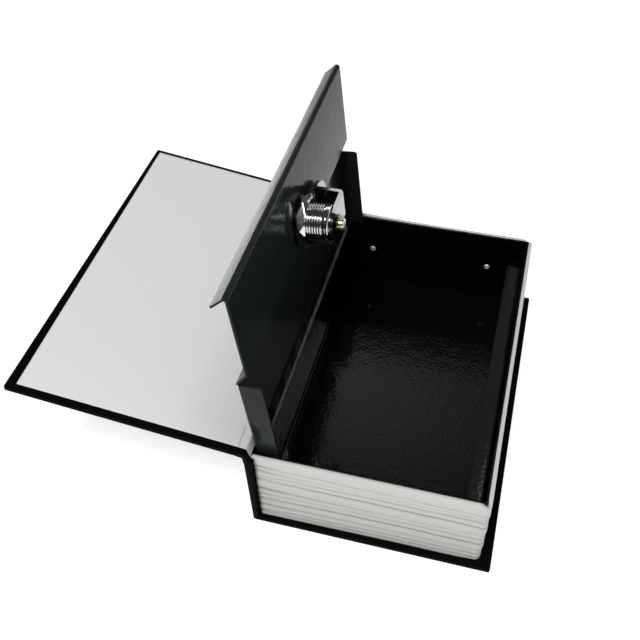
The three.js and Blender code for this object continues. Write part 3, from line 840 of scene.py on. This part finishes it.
def page_block():
    """A wall round three sides, moulded as a stack of paper: columns of points along its path, shut inside.

    The path flares outwards to the far spine end, and the rim dips in a bell curve at both fore corners.
    """
    low, high = extent("page_block")
    height = high[2] - low[2]
    inner_x = extent("tub_head_wall")[1][0]
    path, outward, distance = page_path(inner_x, high[1] - page_wall, low[0])
    flare = head_flare * np.clip(1 - (distance[-1] - distance) / flare_length, 0, 1) ** 2
    path = path + outward * flare[:, None]
    corners = (inner_x - low[0], inner_x - low[0] + 2 * (high[1] - page_wall))
    rim = rim_share * np.sin(np.linspace(0, math.pi / 2, 9))[1:]
    level = np.concatenate([np.linspace(0, 1 - rim_share, 205), 1 - rim_share + rim])
    depth = page_depths(distance, level, height, corners)
    dip = sum(rim_dip * np.exp(-((distance - place) / dip_width) ** 2) for place in corners)[:, None]
    z_outer = low[2] + level[None, :] * (height - dip)
    z_inner = np.concatenate([high[2] - dip, high[2] - dip - rim_inner_edge, np.full_like(dip, low[2])], 1)
    inner_reach = np.tile([rim_inner_edge, tub_gap, tub_gap], (len(path), 1))
    reach = np.concatenate([page_wall - depth, inner_reach], 1)
    x = path[:, :1] + outward[:, :1] * reach
    y = path[:, 1:] + outward[:, 1:] * reach
    points = np.stack([x, y, np.concatenate([z_outer, z_inner], 1)], -1)
    add_piece("page_edges", (points.reshape(-1, 3), tube_faces(len(path), points.shape[1])), page_plastic,
              "book_body", ("page_block",), sharp=60)


page_block()


# Steel tub

def tub():
    """Floor, hinge wall and fore wall as one bent sheet, with a tab at each end of the hinge wall."""
    low, high = extent("tub_pan")
    wall_top = lid.origin[2] + wall_over_pin
    half = steel / 2
    corners = [[low[0] + half, wall_top], [low[0] + half, low[2] + half], [high[0] - half, low[2] + half],
               [high[0] - half, high[2]]]
    pan = prism(sheet_section(corners, bend_radius, steel), low[1], high[1])
    tab_low, tab_high = low[0] + tab_inset, low[0] + 2 * steel + tab_length
    tabs = [box((tab_low, near, low[2] + tab_lift), (tab_high, near + steel, high[2] - tab_drop))
            for near in (-high[1], high[1] - steel)]
    add_piece("tub_sheet", joined(pan, *tabs), tub_coat, "book_body", ("tub_pan",),
              bevel=steel_edge)
    for name in ("tub_tail_wall", "tub_head_wall"):
        add_piece(name + "_sheet", box(*extent(name)), tub_coat, "book_body", (name,),
                  bevel=steel_edge)


def ledge():
    """A bent sheet along the fore wall: a sloping shelf that turns down flat against the wall."""
    low, high = extent("lid_ledge")
    half = steel / 2
    top = high[2] - half - ledge_drop
    corners = [[low[0], top - ledge_slope], [high[0] - half, top], [high[0] - half, low[2]]]
    section = sheet_section(corners, ledge_bend, steel)
    add_piece("ledge_sheet", prism(section, low[1], high[1]), tub_coat, "book_body",
              ("lid_ledge",), bevel=steel_edge)


def rivets():
    """Blind rivets: a turned profile, which is a low dome with the hollow that the pulled stem leaves."""
    turn = np.linspace(0, dome_sweep, 9)[1:]
    stem = np.stack([stem_radii, rivet_rise * np.array(stem_heights)], 1)
    for end, side, inner in (("tail", -1, 1), ("head", 1, 0)):
        face = side * extent(f"tub_{end}_wall")[inner][1]
        for edge in ("spine", "fore"):
            name = f"page_rivet_{end}_{edge}"
            low, high = extent(name)
            radius = rivet_flange * (high[0] - low[0]) / 2
            foot = [[0, -rivet_sink], [radius * rivet_foot, -rivet_sink], [radius, 0]]
            dome = np.stack([radius * np.cos(turn), rivet_rise * np.sin(turn)], 1)
            points, faces = turned(np.concatenate([foot, dome, stem]), 32)
            middle = (low + high) / 2
            placed = np.stack([middle[0] + points[:, 0], side * (face - points[:, 2]),
                               middle[2] + points[:, 1]], 1)
            add_piece(name + "_head", (placed, faces), rivet_metal, "book_body", (name,))


tub()
ledge()
rivets()


# Lid and its hinge

lid_middle = 1.0
recess_middle = -4.3
joggle_start = 51.1
joggle_end = 57.5
ear_stop = 49.9
ear_depth = 10.0
ear_corner = 1.5
lip_length = 9.3
lip_turn = math.radians(51)
fold_radius = 1.0
ear_fold = 1.3


def lid_sheet():
    """One bent sheet: its middle surface follows a section in u and h, and folds down to ears at the ends.

    The section's rows along the ears stop on a quarter circle, and the ear's depth draws back with it, so
    the ear ends in a round corner. Past the ears the section runs straight out to the ends.
    """
    low, high = lid.extent("lid_panel")
    free = high[0] - steel / 2
    corner = free + fold_radius * (1 / math.tan(lip_turn / 2) - 1)
    tip = [corner - lip_length * math.cos(lip_turn), recess_middle + lip_length * math.sin(lip_turn)]
    path = bent([[low[0], lid_middle], [joggle_start, lid_middle], [joggle_end, recess_middle],
                 [corner, recess_middle], tip], fold_radius, 10)
    turn = np.linspace(0, math.pi / 2, 7)
    corner_rows = ear_stop - ear_corner * np.cos(turn)
    ear_rows = np.concatenate([np.linspace(low[0], ear_stop - ear_corner, 6)[:-1], corner_rows])
    path = np.concatenate([np.stack([ear_rows, np.full_like(ear_rows, lid_middle)], 1), path[1:]])
    end = high[1] - steel / 2

    def spread(rows, columns):
        """A grid of points with u and h from the rows and y from the columns."""
        u = np.repeat(rows[:, :1], len(columns), 1)
        y = np.tile(columns, (len(rows), 1))
        points = np.stack([u, y, np.repeat(rows[:, 1:], len(columns), 1)], -1)
        return points.reshape(-1, 3), grid_faces(len(rows), len(columns))

    parts = [spread(path, np.array([ear_fold - end, 0, end - ear_fold]))]
    inset = np.clip(ear_rows - (ear_stop - ear_corner), 0, ear_corner)
    drop = ear_depth + steel / 2 - (ear_corner - np.sqrt(ear_corner ** 2 - inset ** 2))
    fold_y = end - ear_fold + ear_fold * np.sin(turn)
    fold_h = lid_middle - ear_fold + ear_fold * np.cos(turn)
    for side in (-1, 1):
        parts.append(spread(path[len(ear_rows):], side * np.array([end - ear_fold, end + steel / 2])))
        ear_y = np.tile(side * np.concatenate([fold_y, [end]]), (len(ear_rows), 1))
        ear_h = np.concatenate([np.tile(fold_h, (len(ear_rows), 1)), (lid_middle - drop)[:, None]], 1)
        ear = np.stack([np.repeat(ear_rows[:, None], ear_y.shape[1], 1), ear_y, ear_h], -1)
        parts.append((ear.reshape(-1, 3), grid_faces(*ear_y.shape)))
    shape, faces = joined(*parts)
    add_piece("lid_sheet", (lid.open(shape), faces), lid_coat, "lid", ("lid_panel",),
              bevel=steel_edge, solid=steel)


def round_bar(radius, length, edge):
    """A bar about the third axis with rounded rims."""
    low_rim = [[radius - edge, 0], [radius - edge / 4, edge / 3], [radius, edge]]
    high_rim = [[across, length - along] for across, along in low_rim[::-1]]
    return turned([[0, 0], *low_rim, *high_rim, [0, length]], 28)


def hinge():
    """Two leaves whose rolled knuckles take turns along the pin: round bars, and strips that reach them."""
    low, high = extent("hinge_leaf_tub")
    lid_high = lid.extent("hinge_leaf_lid")[1]
    radius = lid.origin[0] - low[0]
    pitch = (high[1] - low[1]) / knuckle_count

    def strip(inner, outer, foot, top):
        """The section of a leaf."""
        return np.array([[inner, foot], [outer, foot], [outer, top], [inner, top]])

    tub_leaf = strip(low[0], low[0] + leaf_sheet, low[2], lid.origin[2])
    lid_leaf = strip(radius * leaf_root, lid_high[0], lid_leaf_foot, lid_leaf_foot + leaf_sheet)
    # The tub has the first knuckle and every second one after it, and the lid has the others
    leaves, knuckles = ([], []), ([], [])
    for index in range(knuckle_count):
        owner = index % 2
        start = low[1] + index * pitch + knuckle_gap / 2
        end = start + pitch - knuckle_gap
        points, faces = round_bar(radius * (1, lid_knuckle_share)[owner], end - start, knuckle_edge)
        bar = np.stack([points[:, 0], start + points[:, 2], -points[:, 1]], 1)
        knuckles[owner].append((bar, faces))
        leaves[owner].append(prism((tub_leaf, lid_leaf)[owner], start, end))
    clear = radius + leaf_clearance
    leaves[0].append(prism(np.minimum(tub_leaf, [np.inf, lid.origin[2] - clear]), low[1], high[1]))
    leaves[1].append(prism(np.maximum(lid_leaf, [clear, -np.inf]), low[1], high[1]))
    bars, bar_faces = joined(*knuckles[0])
    # The knuckles' grey coat is a painted highlight.
    add_piece("hinge_tub_knuckles", (bars + [lid.origin[0], 0, lid.origin[2]], bar_faces), knuckle_highlight_coat,
              "book_body")
    add_piece("hinge_tub_side", joined(*leaves[0]), tub_coat, "book_body",
              ("hinge_leaf_tub",))
    for name, parts, finish, replaced in (("hinge_lid_knuckles", knuckles[1], knuckle_highlight_coat, ()),
                                          ("hinge_lid_side", leaves[1], lid_coat, ("hinge_leaf_lid",))):
        shape, faces = joined(*parts)
        add_piece(name, (lid.open(shape), faces), finish, "lid", replaced)


lid_sheet()
hinge()


# Cam lock

lock_centre = lid.shut([np.array(joints["lock_turn"]["pos_m"]) / MM])[0]

# Barrel: the run-in of its thread is an angle in radians, and its coil's section is in shares of the pitch
flat_turn = math.radians(140)
flat_reach = 6.9
thread_radius = 8.5
thread_pitch = 1.2
thread_depth = 0.95
thread_run_in = 1.5
thread_under_nut = 1.0
thread_step = 0.15
crest_half = 0.17
crest_drop = 0.15
coil_foot = 0.52
coil_root = 0.1
flat_clear = 0.05
plain_end = 2.3
plain_step = 0.25
end_chamfer = 0.25
end_chamfer_row = 0.12
end_chamfer_depth = 0.3
stop_groove = 0.6
groove_low = 1.1
groove_high = 1.4
groove_flank = 0.05
bore_radius = 6.3
bore_edge = 0.4
head_radius = 9.5
head_edge = 0.8
head_edge_in = 0.25
head_edge_down = 0.3
sheet_under_head = 1.2

# Nut and its lock washer
nut_across = 22.0
nut_bore = 7.9
nut_turn = math.radians(17)
chamfer_start = 10.65
chamfer_slope = 1.06
nut_edge = 0.28
flat_hold = 0.06
cone_hold_share = 0.96
tooth_count = 16
tooth_depth = 0.5
tooth_share = 0.62
washer_bore = 8.1

# Plug and its key slot
plug_radius = 6.0
plug_rim = 5.85
plug_face = 5.6
plug_edge = 0.3
plug_back = 3.2
key_slot_half = 0.8
key_slot_reach = 3.6
key_slot_edge = 0.12
key_slot_depth = 3.0

# Cam with its washer and screw
cam_sheet = 1.8
cam_edge = 0.2
cam_half_width = 6.3
crank_reach = 15.3
crank_lean = 1.5
crank_run = 5.0
crank_bend = 1.3
tongue_centre = (-7.0, 17.1)
tongue_radius = 13.35
cam_washer_bore = 1.8
washer_sink = 0.2
washer_edge = 0.12
washer_edge_rise = 0.08
seat_sink = 0.1
screw_radius = 2.7
screw_proud = 0.5
screw_dome = 0.25
screw_back = 0.25
shoulder_share = 0.2
slot_half = 0.42
slot_side = 0.18
slot_reach = 0.72
slot_end = 0.6
slot_depth = 1.3
slot_turn = math.radians(20)


def on_lid(points):
    """Points about the lock's own axis, with the third value as height over the lid, to their place."""
    points = np.asarray(points, float).reshape(-1, 3).copy()
    points[:, 0] += lock_centre[0]
    return lid.open(points)


def barrel():
    """A tube with a coiled ridge for its thread, smooth near its end, with one flat on the hidden side.

    The ridge is a steep roof with a blunter crest, carried along a helix. Its foot lies inside the tube. At
    the flat the radius is at most the flat's reach over the cosine of the angle to its middle.
    """
    low, high = lid.extent("lock_barrel")
    nut_low, nut_high = lid.extent("lock_nut")
    thread_low, thread_high = low[2] + plain_end, nut_low[2] + thread_under_nut
    core = thread_radius - thread_depth
    plain_rows = np.array([0, end_chamfer_row, end_chamfer, groove_low - groove_flank, groove_low,
                           groove_high, groove_high + groove_flank])
    heights = np.concatenate([low[2] + plain_rows, [thread_low - thread_step, thread_low, thread_high]])

    def cut(radius, angle):
        """A radius, or less where the flat takes some off."""
        return np.minimum(radius, flat_reach / np.maximum(np.cos(angle - flat_turn), 1e-3))

    def radius_of(angle, height):
        """The thread's core, or the plain end with its groove and chamfered rim."""
        above = height - low[2]
        in_groove = (above > groove_low - groove_flank / 2) & (above < groove_high + groove_flank / 2)
        chamfer = end_chamfer_depth * np.clip(1 - above / end_chamfer, 0, 1)
        plain = thread_radius - plain_step - chamfer - stop_groove * in_groove
        return cut(np.where(height < thread_low - thread_step / 2, plain, core), angle)

    tube = ring_solid(radius_of, heights, bore_radius, 144)
    turns = (thread_high - thread_low) / thread_pitch
    angle = np.linspace(0, 2 * math.pi * turns, int(96 * turns))[:, None]
    growth = smooth_step(angle / thread_run_in)
    foot = core - coil_root
    radius = foot + (thread_radius - foot) * growth * np.array([[0, 1 - crest_drop, 1, 1 - crest_drop, 0]])
    flat = cut(radius, angle)
    radius = flat - flat_clear * (flat < radius)
    section = np.array([[-coil_foot, -crest_half, 0, crest_half, coil_foot]])
    height = thread_low + thread_pitch * (angle / (2 * math.pi) + section)
    coil = np.stack([radius * np.cos(angle), radius * np.sin(angle), height], -1)
    head_low, head_high = nut_high[2] + sheet_under_head, high[2]
    rim = head_high - head_edge_down
    profile = [[bore_radius, head_low], [head_radius, head_low], [head_radius, head_high - head_edge],
               [head_radius - head_edge_in, rim], [head_radius - head_edge, head_high],
               [bore_radius + bore_edge, head_high], [bore_radius, rim], [bore_radius, head_low]]
    head = turned(profile, 96)
    shape, faces = joined(tube, (coil, tube_faces(*radius.shape)), head)
    add_piece("lock_barrel_thread", (on_lid(shape), faces), chrome, "lid", ("lock_barrel",),
              sharp=40)


def nut():
    """A hexagon whose corners are turned off by a cone at both faces. Each edge of a flat is a small round.

    A flat's radius is half the width across flats over the cosine of the angle to the flat's middle. The
    cone's height is how far that radius goes past its start, over its slope. A row just inside each edge
    keeps the flat and the cone level.
    """
    low, high = lid.extent("lock_nut")
    angle = nut_turn + math.pi / 6 + circle(240)
    spread = (angle - nut_turn + math.pi / 6) % (math.pi / 3) - math.pi / 6
    hexagon = (nut_across / 2 / np.cos(spread))[None, :]
    cut = (hexagon - chamfer_start) / chamfer_slope
    share = np.linspace(0, 1, 6)[:, None]
    slant = nut_edge / math.hypot(1, chamfer_slope)
    radius = hexagon - slant * chamfer_slope * (1 - share) ** 2
    rise = cut - slant * (1 - share) ** 2 + nut_edge * share ** 2
    hold = rise[-1:] + flat_hold
    bore, start = np.full_like(hexagon, nut_bore), np.full_like(hexagon, chamfer_start)
    cone_hold = start + (radius[:1] - start) * cone_hold_share
    cone_rise = rise[:1] * cone_hold_share
    below = np.concatenate([0 * cut, cone_rise, rise, hold])
    height = np.concatenate([low[2] + below, high[2] - below[::-1], high[2] + 0 * cut, low[2] + 0 * cut])
    near_rings = np.concatenate([start, cone_hold, radius, hexagon])
    rings = np.concatenate([near_rings, near_rings[::-1], bore, bore])
    points = np.stack([rings * np.cos(angle), rings * np.sin(angle), height], -1)
    faces = grid_faces(*rings.shape, wrap_rows=True, wrap_columns=True)
    add_piece("lock_nut_hex", (on_lid(points), faces), chrome, "lid", ("lock_nut",), sharp=25)


def tooth_washer():
    """A lock washer: a ring whose radius drops by the tooth's depth for a share of each tooth's turn."""
    low, high = lid.extent("lock_washer")
    radius = (high[1] - low[1]) / 2 - tooth_depth

    def radius_of(angle, height):
        """The rim, or the gap between two teeth."""
        return radius - tooth_depth * (angle * tooth_count / (2 * math.pi) % 1 > tooth_share)

    points, faces = ring_solid(radius_of, np.linspace(low[2], high[2], 3), washer_bore, 192)
    # Its darkened zinc is painted shade round the nut.
    add_piece("lock_washer_teeth", (on_lid(points), faces), washer_shade_zinc, "lid", ("lock_washer",),
              sharp=30)


def plug():
    """The plug: a disc of rings with a rounded rim, sunk where its key slot is, on a short plain side."""
    low, high = lid.extent("lock_plug")
    rings = np.concatenate([np.linspace(0, plug_face, 34), [plug_rim, plug_radius]])[:, None]
    angle = circle(120)[None, :]
    x, y = rings * np.cos(angle), rings * np.sin(angle)
    slot = smooth_step((key_slot_half - np.abs(x)) / key_slot_edge)
    slot = slot * smooth_step((key_slot_reach - np.abs(y)) / key_slot_edge)
    edge = smooth_step((rings - plug_radius + plug_edge) / plug_edge)
    h = high[2] - key_slot_depth * slot - plug_edge * edge
    face = np.stack([x, y, h], -1)
    back = low[2] + plug_back + 0 * angle
    wall = np.stack([plug_radius * np.cos(angle), plug_radius * np.sin(angle), back], -1)
    end = np.stack([0 * angle, 0 * angle, back], -1)
    points = np.concatenate([face, wall, end])
    add_piece("lock_plug_face", (on_lid(points), grid_faces(*points.shape[:2], wrap_columns=True)), brass,
              "lock_cylinder", ("lock_plug",), sharp=40)


def cam():
    """A strip cranked back to the lid. Rows of points follow its middle path in y and h.

    The plate's rows start on a half circle about the screw. The tongue's rows end on an arc that rounds one
    corner.
    """
    low, high = lid.extent("lock_cam")
    half = cam_sheet / 2
    plate_h, tongue_h = low[2] + half, high[2] - half
    path = bent([[0, plate_h], [crank_reach, plate_h], [crank_reach + crank_lean, tongue_h],
                 [crank_reach + crank_run, tongue_h]], crank_bend, 8)[1:-1]
    u = cam_half_width * np.sin(np.linspace(-math.pi / 2, math.pi / 2, 41))[None, :]
    plate = np.linspace(0, 1, 12)[:-1, None]
    tongue = np.linspace(0, 1, 12)[1:, None]
    start = -np.sqrt(np.maximum(cam_half_width ** 2 - u ** 2, 0))
    end = tongue_centre[1] + np.sqrt(tongue_radius ** 2 - (u - tongue_centre[0]) ** 2)
    y = np.concatenate([start + (path[0, 0] - start) * plate, path[:, :1] + 0 * u,
                        path[-1, 0] + (end - path[-1, 0]) * tongue])
    rows_h = np.concatenate([np.full(len(plate), plate_h), path[:, 1], np.full(len(tongue), tongue_h)])
    points = np.stack([u + 0 * y, y, rows_h[:, None] + 0 * y], -1)
    add_piece("lock_cam_plate", (on_lid(points), grid_faces(*y.shape)), zinc, "lock_cylinder",
              ("lock_cam",), bevel=cam_edge, solid=cam_sheet)


def cam_washer():
    """A plain ring that seats a little into the cam, with a chamfer at both faces."""
    low, high = lid.extent("cam_washer")
    bottom = low[2] - washer_sink
    heights = np.array([bottom, bottom + washer_edge_rise, high[2] - washer_edge_rise, high[2]])
    radius = (high[1] - low[1]) / 2

    def radius_of(angle, height):
        """The rim, or less in the first and the last row."""
        return radius - washer_edge * ((height == heights[0]) | (height == heights[-1]))

    points, faces = ring_solid(radius_of, heights, cam_washer_bore, 64)
    # Its darkened zinc is painted shade round the screw.
    add_piece("cam_washer_ring", (on_lid(points), faces), washer_shade_zinc, "lock_cylinder",
              ("cam_washer",))


def cam_screw():
    """A cheese head: rings of a low dome, a round shoulder and an upright side, with a cross cut into it.

    Each arm of the cross is the product of two smooth steps, one across and one along it.
    """
    low = lid.extent("cam_screw")[0]
    seat = lid.extent("cam_washer")[0][2] - seat_sink
    shoulder = shoulder_share * screw_radius
    flat, side = screw_radius - shoulder, seat - low[2] + screw_proud - shoulder
    turn = np.linspace(0, math.pi / 2, 7)[1:]
    rings = np.concatenate([np.linspace(0, flat, 30), flat + shoulder * np.sin(turn), [screw_radius]])
    rise = np.concatenate([np.full(30, side + shoulder), side + shoulder * np.cos(turn), [0]])
    rings, rise = rings[:, None], rise[:, None]
    rise = rise - screw_dome * (rings / screw_radius) ** 2
    angle = circle(128)[None, :]
    x, y = rings * np.cos(angle), rings * np.sin(angle)
    turned_x = x * math.cos(slot_turn) + y * math.sin(slot_turn)
    turned_y = y * math.cos(slot_turn) - x * math.sin(slot_turn)

    def arm(across, along):
        """The share of the slot's depth in one arm."""
        depth = smooth_step((slot_half - np.abs(across)) / slot_side)
        return depth * smooth_step((slot_reach * screw_radius - np.abs(along)) / slot_end)

    cross = np.maximum(arm(turned_x, turned_y), arm(turned_y, turned_x))
    face = np.stack([x, y, seat - rise + slot_depth * cross], -1)
    middle = np.stack([0 * angle, 0 * angle, seat + screw_back + 0 * angle], -1)
    points = np.concatenate([face, middle])
    add_piece("cam_screw_head", (on_lid(points), grid_faces(*points.shape[:2], wrap_columns=True)), brass,
              "lock_cylinder", ("cam_screw",), sharp=45)


barrel()
nut()
tooth_washer()
plug()
cam()
cam_washer()
cam_screw()


# Nodes that keep their CAD shape

kept_finishes = {"back_cover_board": greyboard, "back_cover_lining": paper, "spine_board": greyboard,
                 "hinge_pin": zinc}
for index in range(1, 6):
    kept_finishes[f"wafer_{index}"] = brass
    kept_finishes[f"wafer_spring_{index}"] = zinc
for name, finish in kept_finishes.items():
    frame["nodes"][name].data.materials.clear()
    frame["nodes"][name].data.materials.append(finish)


# Studio

room_glow = 0.05

# The floor's even glow, and patches of more: a weight, and ramps of axis, start, end, first and last value
floor_size = 24000.0
floor_height = -0.05
floor_glow = 0.75
floor_glows = (
    (0.12, (("Y", 180, 310, 1, 0), ("Y", 30, 100, 0, 1), ("X", -160, -60, 0, 1))),
    (2.7, (("X", -360, -240, 1, 0), ("Y", 120, 220, 0, 1), ("Y", 450, 620, 1, 0))))

# The card's ramps run along its own axes, the first of which points left as seen from the book
card_place = (-142.0, 965.0, 1410.0)
card_size = (315.0, 360.0)
card_glow = 1.06
card_ramps = (("X", -165, 60, 0.25, 1), ("Y", -120, 150, 1, 0.45))

# Softboxes: name, place, height of the point that it faces, width, depth and power in watts
softboxes = (
    ("overhead", (-160, -770, 1640), 50, 500, 500, 24.0),
    ("fore", (250, 1050, 1350), 50, 260, 700, 0.24),
    ("side", (500, 950, 1350), 50, 220, 600, 1.05),
    ("right", (1800, -300, 1050), 100, 1100, 550, 3.3),
    ("crown", (-700, 1580, 1100), 100, 500, 900, 2.6),
    ("far", (700, 2000, 650), 50, 3200, 600, 4.0),
    ("left", (-1500, -400, 900), 50, 600, 600, 2.0))


def stand(thing, right, up, back, place):
    """Places a thing by the directions of its own three axes and the place of its origin in mm."""
    matrix = np.eye(4)
    matrix[:3] = np.column_stack([right, up, back, np.array(place) * MM])
    thing.matrix_world = Matrix(matrix.tolist())


def face_from(thing, place, back):
    """Places a thing with its third axis along a direction and its first axis level."""
    back = np.array(back, float) / np.linalg.norm(back)
    side = np.cross([0, 0, 1], back)
    side /= np.linalg.norm(side)
    stand(thing, side, np.cross(back, side), back, place)


def camera():
    """The camera looks along its yaw and pitch from level, then rolls about that line."""
    forward = np.array([math.sin(camera_yaw) * math.cos(camera_pitch),
                        math.cos(camera_yaw) * math.cos(camera_pitch), -math.sin(camera_pitch)])
    level = np.array([math.cos(camera_yaw), -math.sin(camera_yaw), 0])
    above = np.cross(level, forward)
    right = level * math.cos(camera_roll) + above * math.sin(camera_roll)
    up = above * math.cos(camera_roll) - level * math.sin(camera_roll)
    lens = bpy.data.cameras.new("camera")
    lens.sensor_width = film_width
    lens.lens = focal_pixels / frame_pixels * film_width
    lens.shift_x = -centre_pixels[0] / frame_pixels
    lens.shift_y = centre_pixels[1] / frame_pixels
    lens.clip_start = view_start * MM
    lens.clip_end = view_end * MM
    holder = bpy.data.objects.new("camera", lens)
    bpy.context.scene.collection.objects.link(holder)
    stand(holder, right, up, -forward, camera_place)
    bpy.context.scene.camera = holder


def ramped(finish, ramps):
    """The product of straight ramps along the axes, each from a first to a last value."""
    patch = None
    for axis, start, end, first, last in ramps:
        step = finish.curve(finish.along(axis), start * MM, end * MM, first, last)
        patch = finish.product(patch, step) if patch else step
    return patch


def plate(name, width, depth, height, finish):
    """A flat rectangle about the third axis, at a height on it."""
    x, y = width / 2, depth / 2
    mesh = bpy.data.meshes.new(name)
    corners = np.array([[-x, -y, height], [x, -y, height], [x, y, height], [-x, y, height]])
    mesh.from_pydata((corners * MM).tolist(), [], [[0, 1, 2, 3]])
    mesh.materials.append(finish.material)
    sheet = bpy.data.objects.new(name, mesh)
    bpy.context.scene.collection.objects.link(sheet)
    return sheet


def floor():
    """A pale paper floor that glows softly, more in two patches that the lid mirrors.

    The glow is an even one plus, for each patch, a weight times the product of its ramps.
    """
    finish = Finish("pale_floor", (0.5, 0.5, 0.5), 0.9, Specular_IOR_Level=0.1, Emission_Color=(1, 1, 1, 1))
    finish.vary_color(finish.noise(3.0, 2), (0.49, 0.49, 0.49), (0.51, 0.51, 0.51))
    glow = None
    for weight, ramps in floor_glows:
        total = finish.node("Math", operation="MULTIPLY_ADD")
        finish.link(ramped(finish, ramps), total.inputs[0])
        total.inputs[1].default_value = weight
        total.inputs[2].default_value = floor_glow
        if glow:
            finish.link(glow, total.inputs[2])
        glow = total.outputs[0]
    finish.link(glow, finish.shader.inputs["Emission Strength"])
    ground = plate("floor", floor_size, floor_size, floor_height, finish)


def card():
    """A glowing card behind the book, brightest at its lower left. The tub's floor mirrors it."""
    finish = Finish("card_glow", (0, 0, 0), 1.0, Specular_IOR_Level=0.0, Emission_Color=(1, 1, 1, 1))
    strength = finish.node("Math", operation="MULTIPLY")
    finish.link(ramped(finish, card_ramps), strength.inputs[0])
    strength.inputs[1].default_value = card_glow
    finish.link(strength.outputs[0], finish.shader.inputs["Emission Strength"])
    panel = plate("card", *card_size, 0, finish)
    face_from(panel, card_place, card_place)


def softbox(name, place, target_height, width, depth, power):
    """A rectangular light that faces a point above the book's middle."""
    light = bpy.data.lights.new(name, "AREA")
    light.shape = "RECTANGLE"
    light.size = width * MM
    light.size_y = depth * MM
    light.energy = power
    holder = bpy.data.objects.new(name, light)
    bpy.context.scene.collection.objects.link(holder)
    face_from(holder, place, np.subtract(place, (0, 0, target_height)))


def studio():
    """A dim white room with the softboxes in it."""
    world = bpy.data.worlds.new("studio")
    world.use_nodes = True
    world.node_tree.nodes["Background"].inputs["Color"].default_value = (1, 1, 1, 1)
    world.node_tree.nodes["Background"].inputs["Strength"].default_value = room_glow
    bpy.context.scene.world = world
    bpy.context.scene.view_settings.view_transform = "Standard"
    bpy.context.scene.view_settings.look = "None"
    for box_light in softboxes:
        softbox(*box_light)


camera()
floor()
card()
studio()
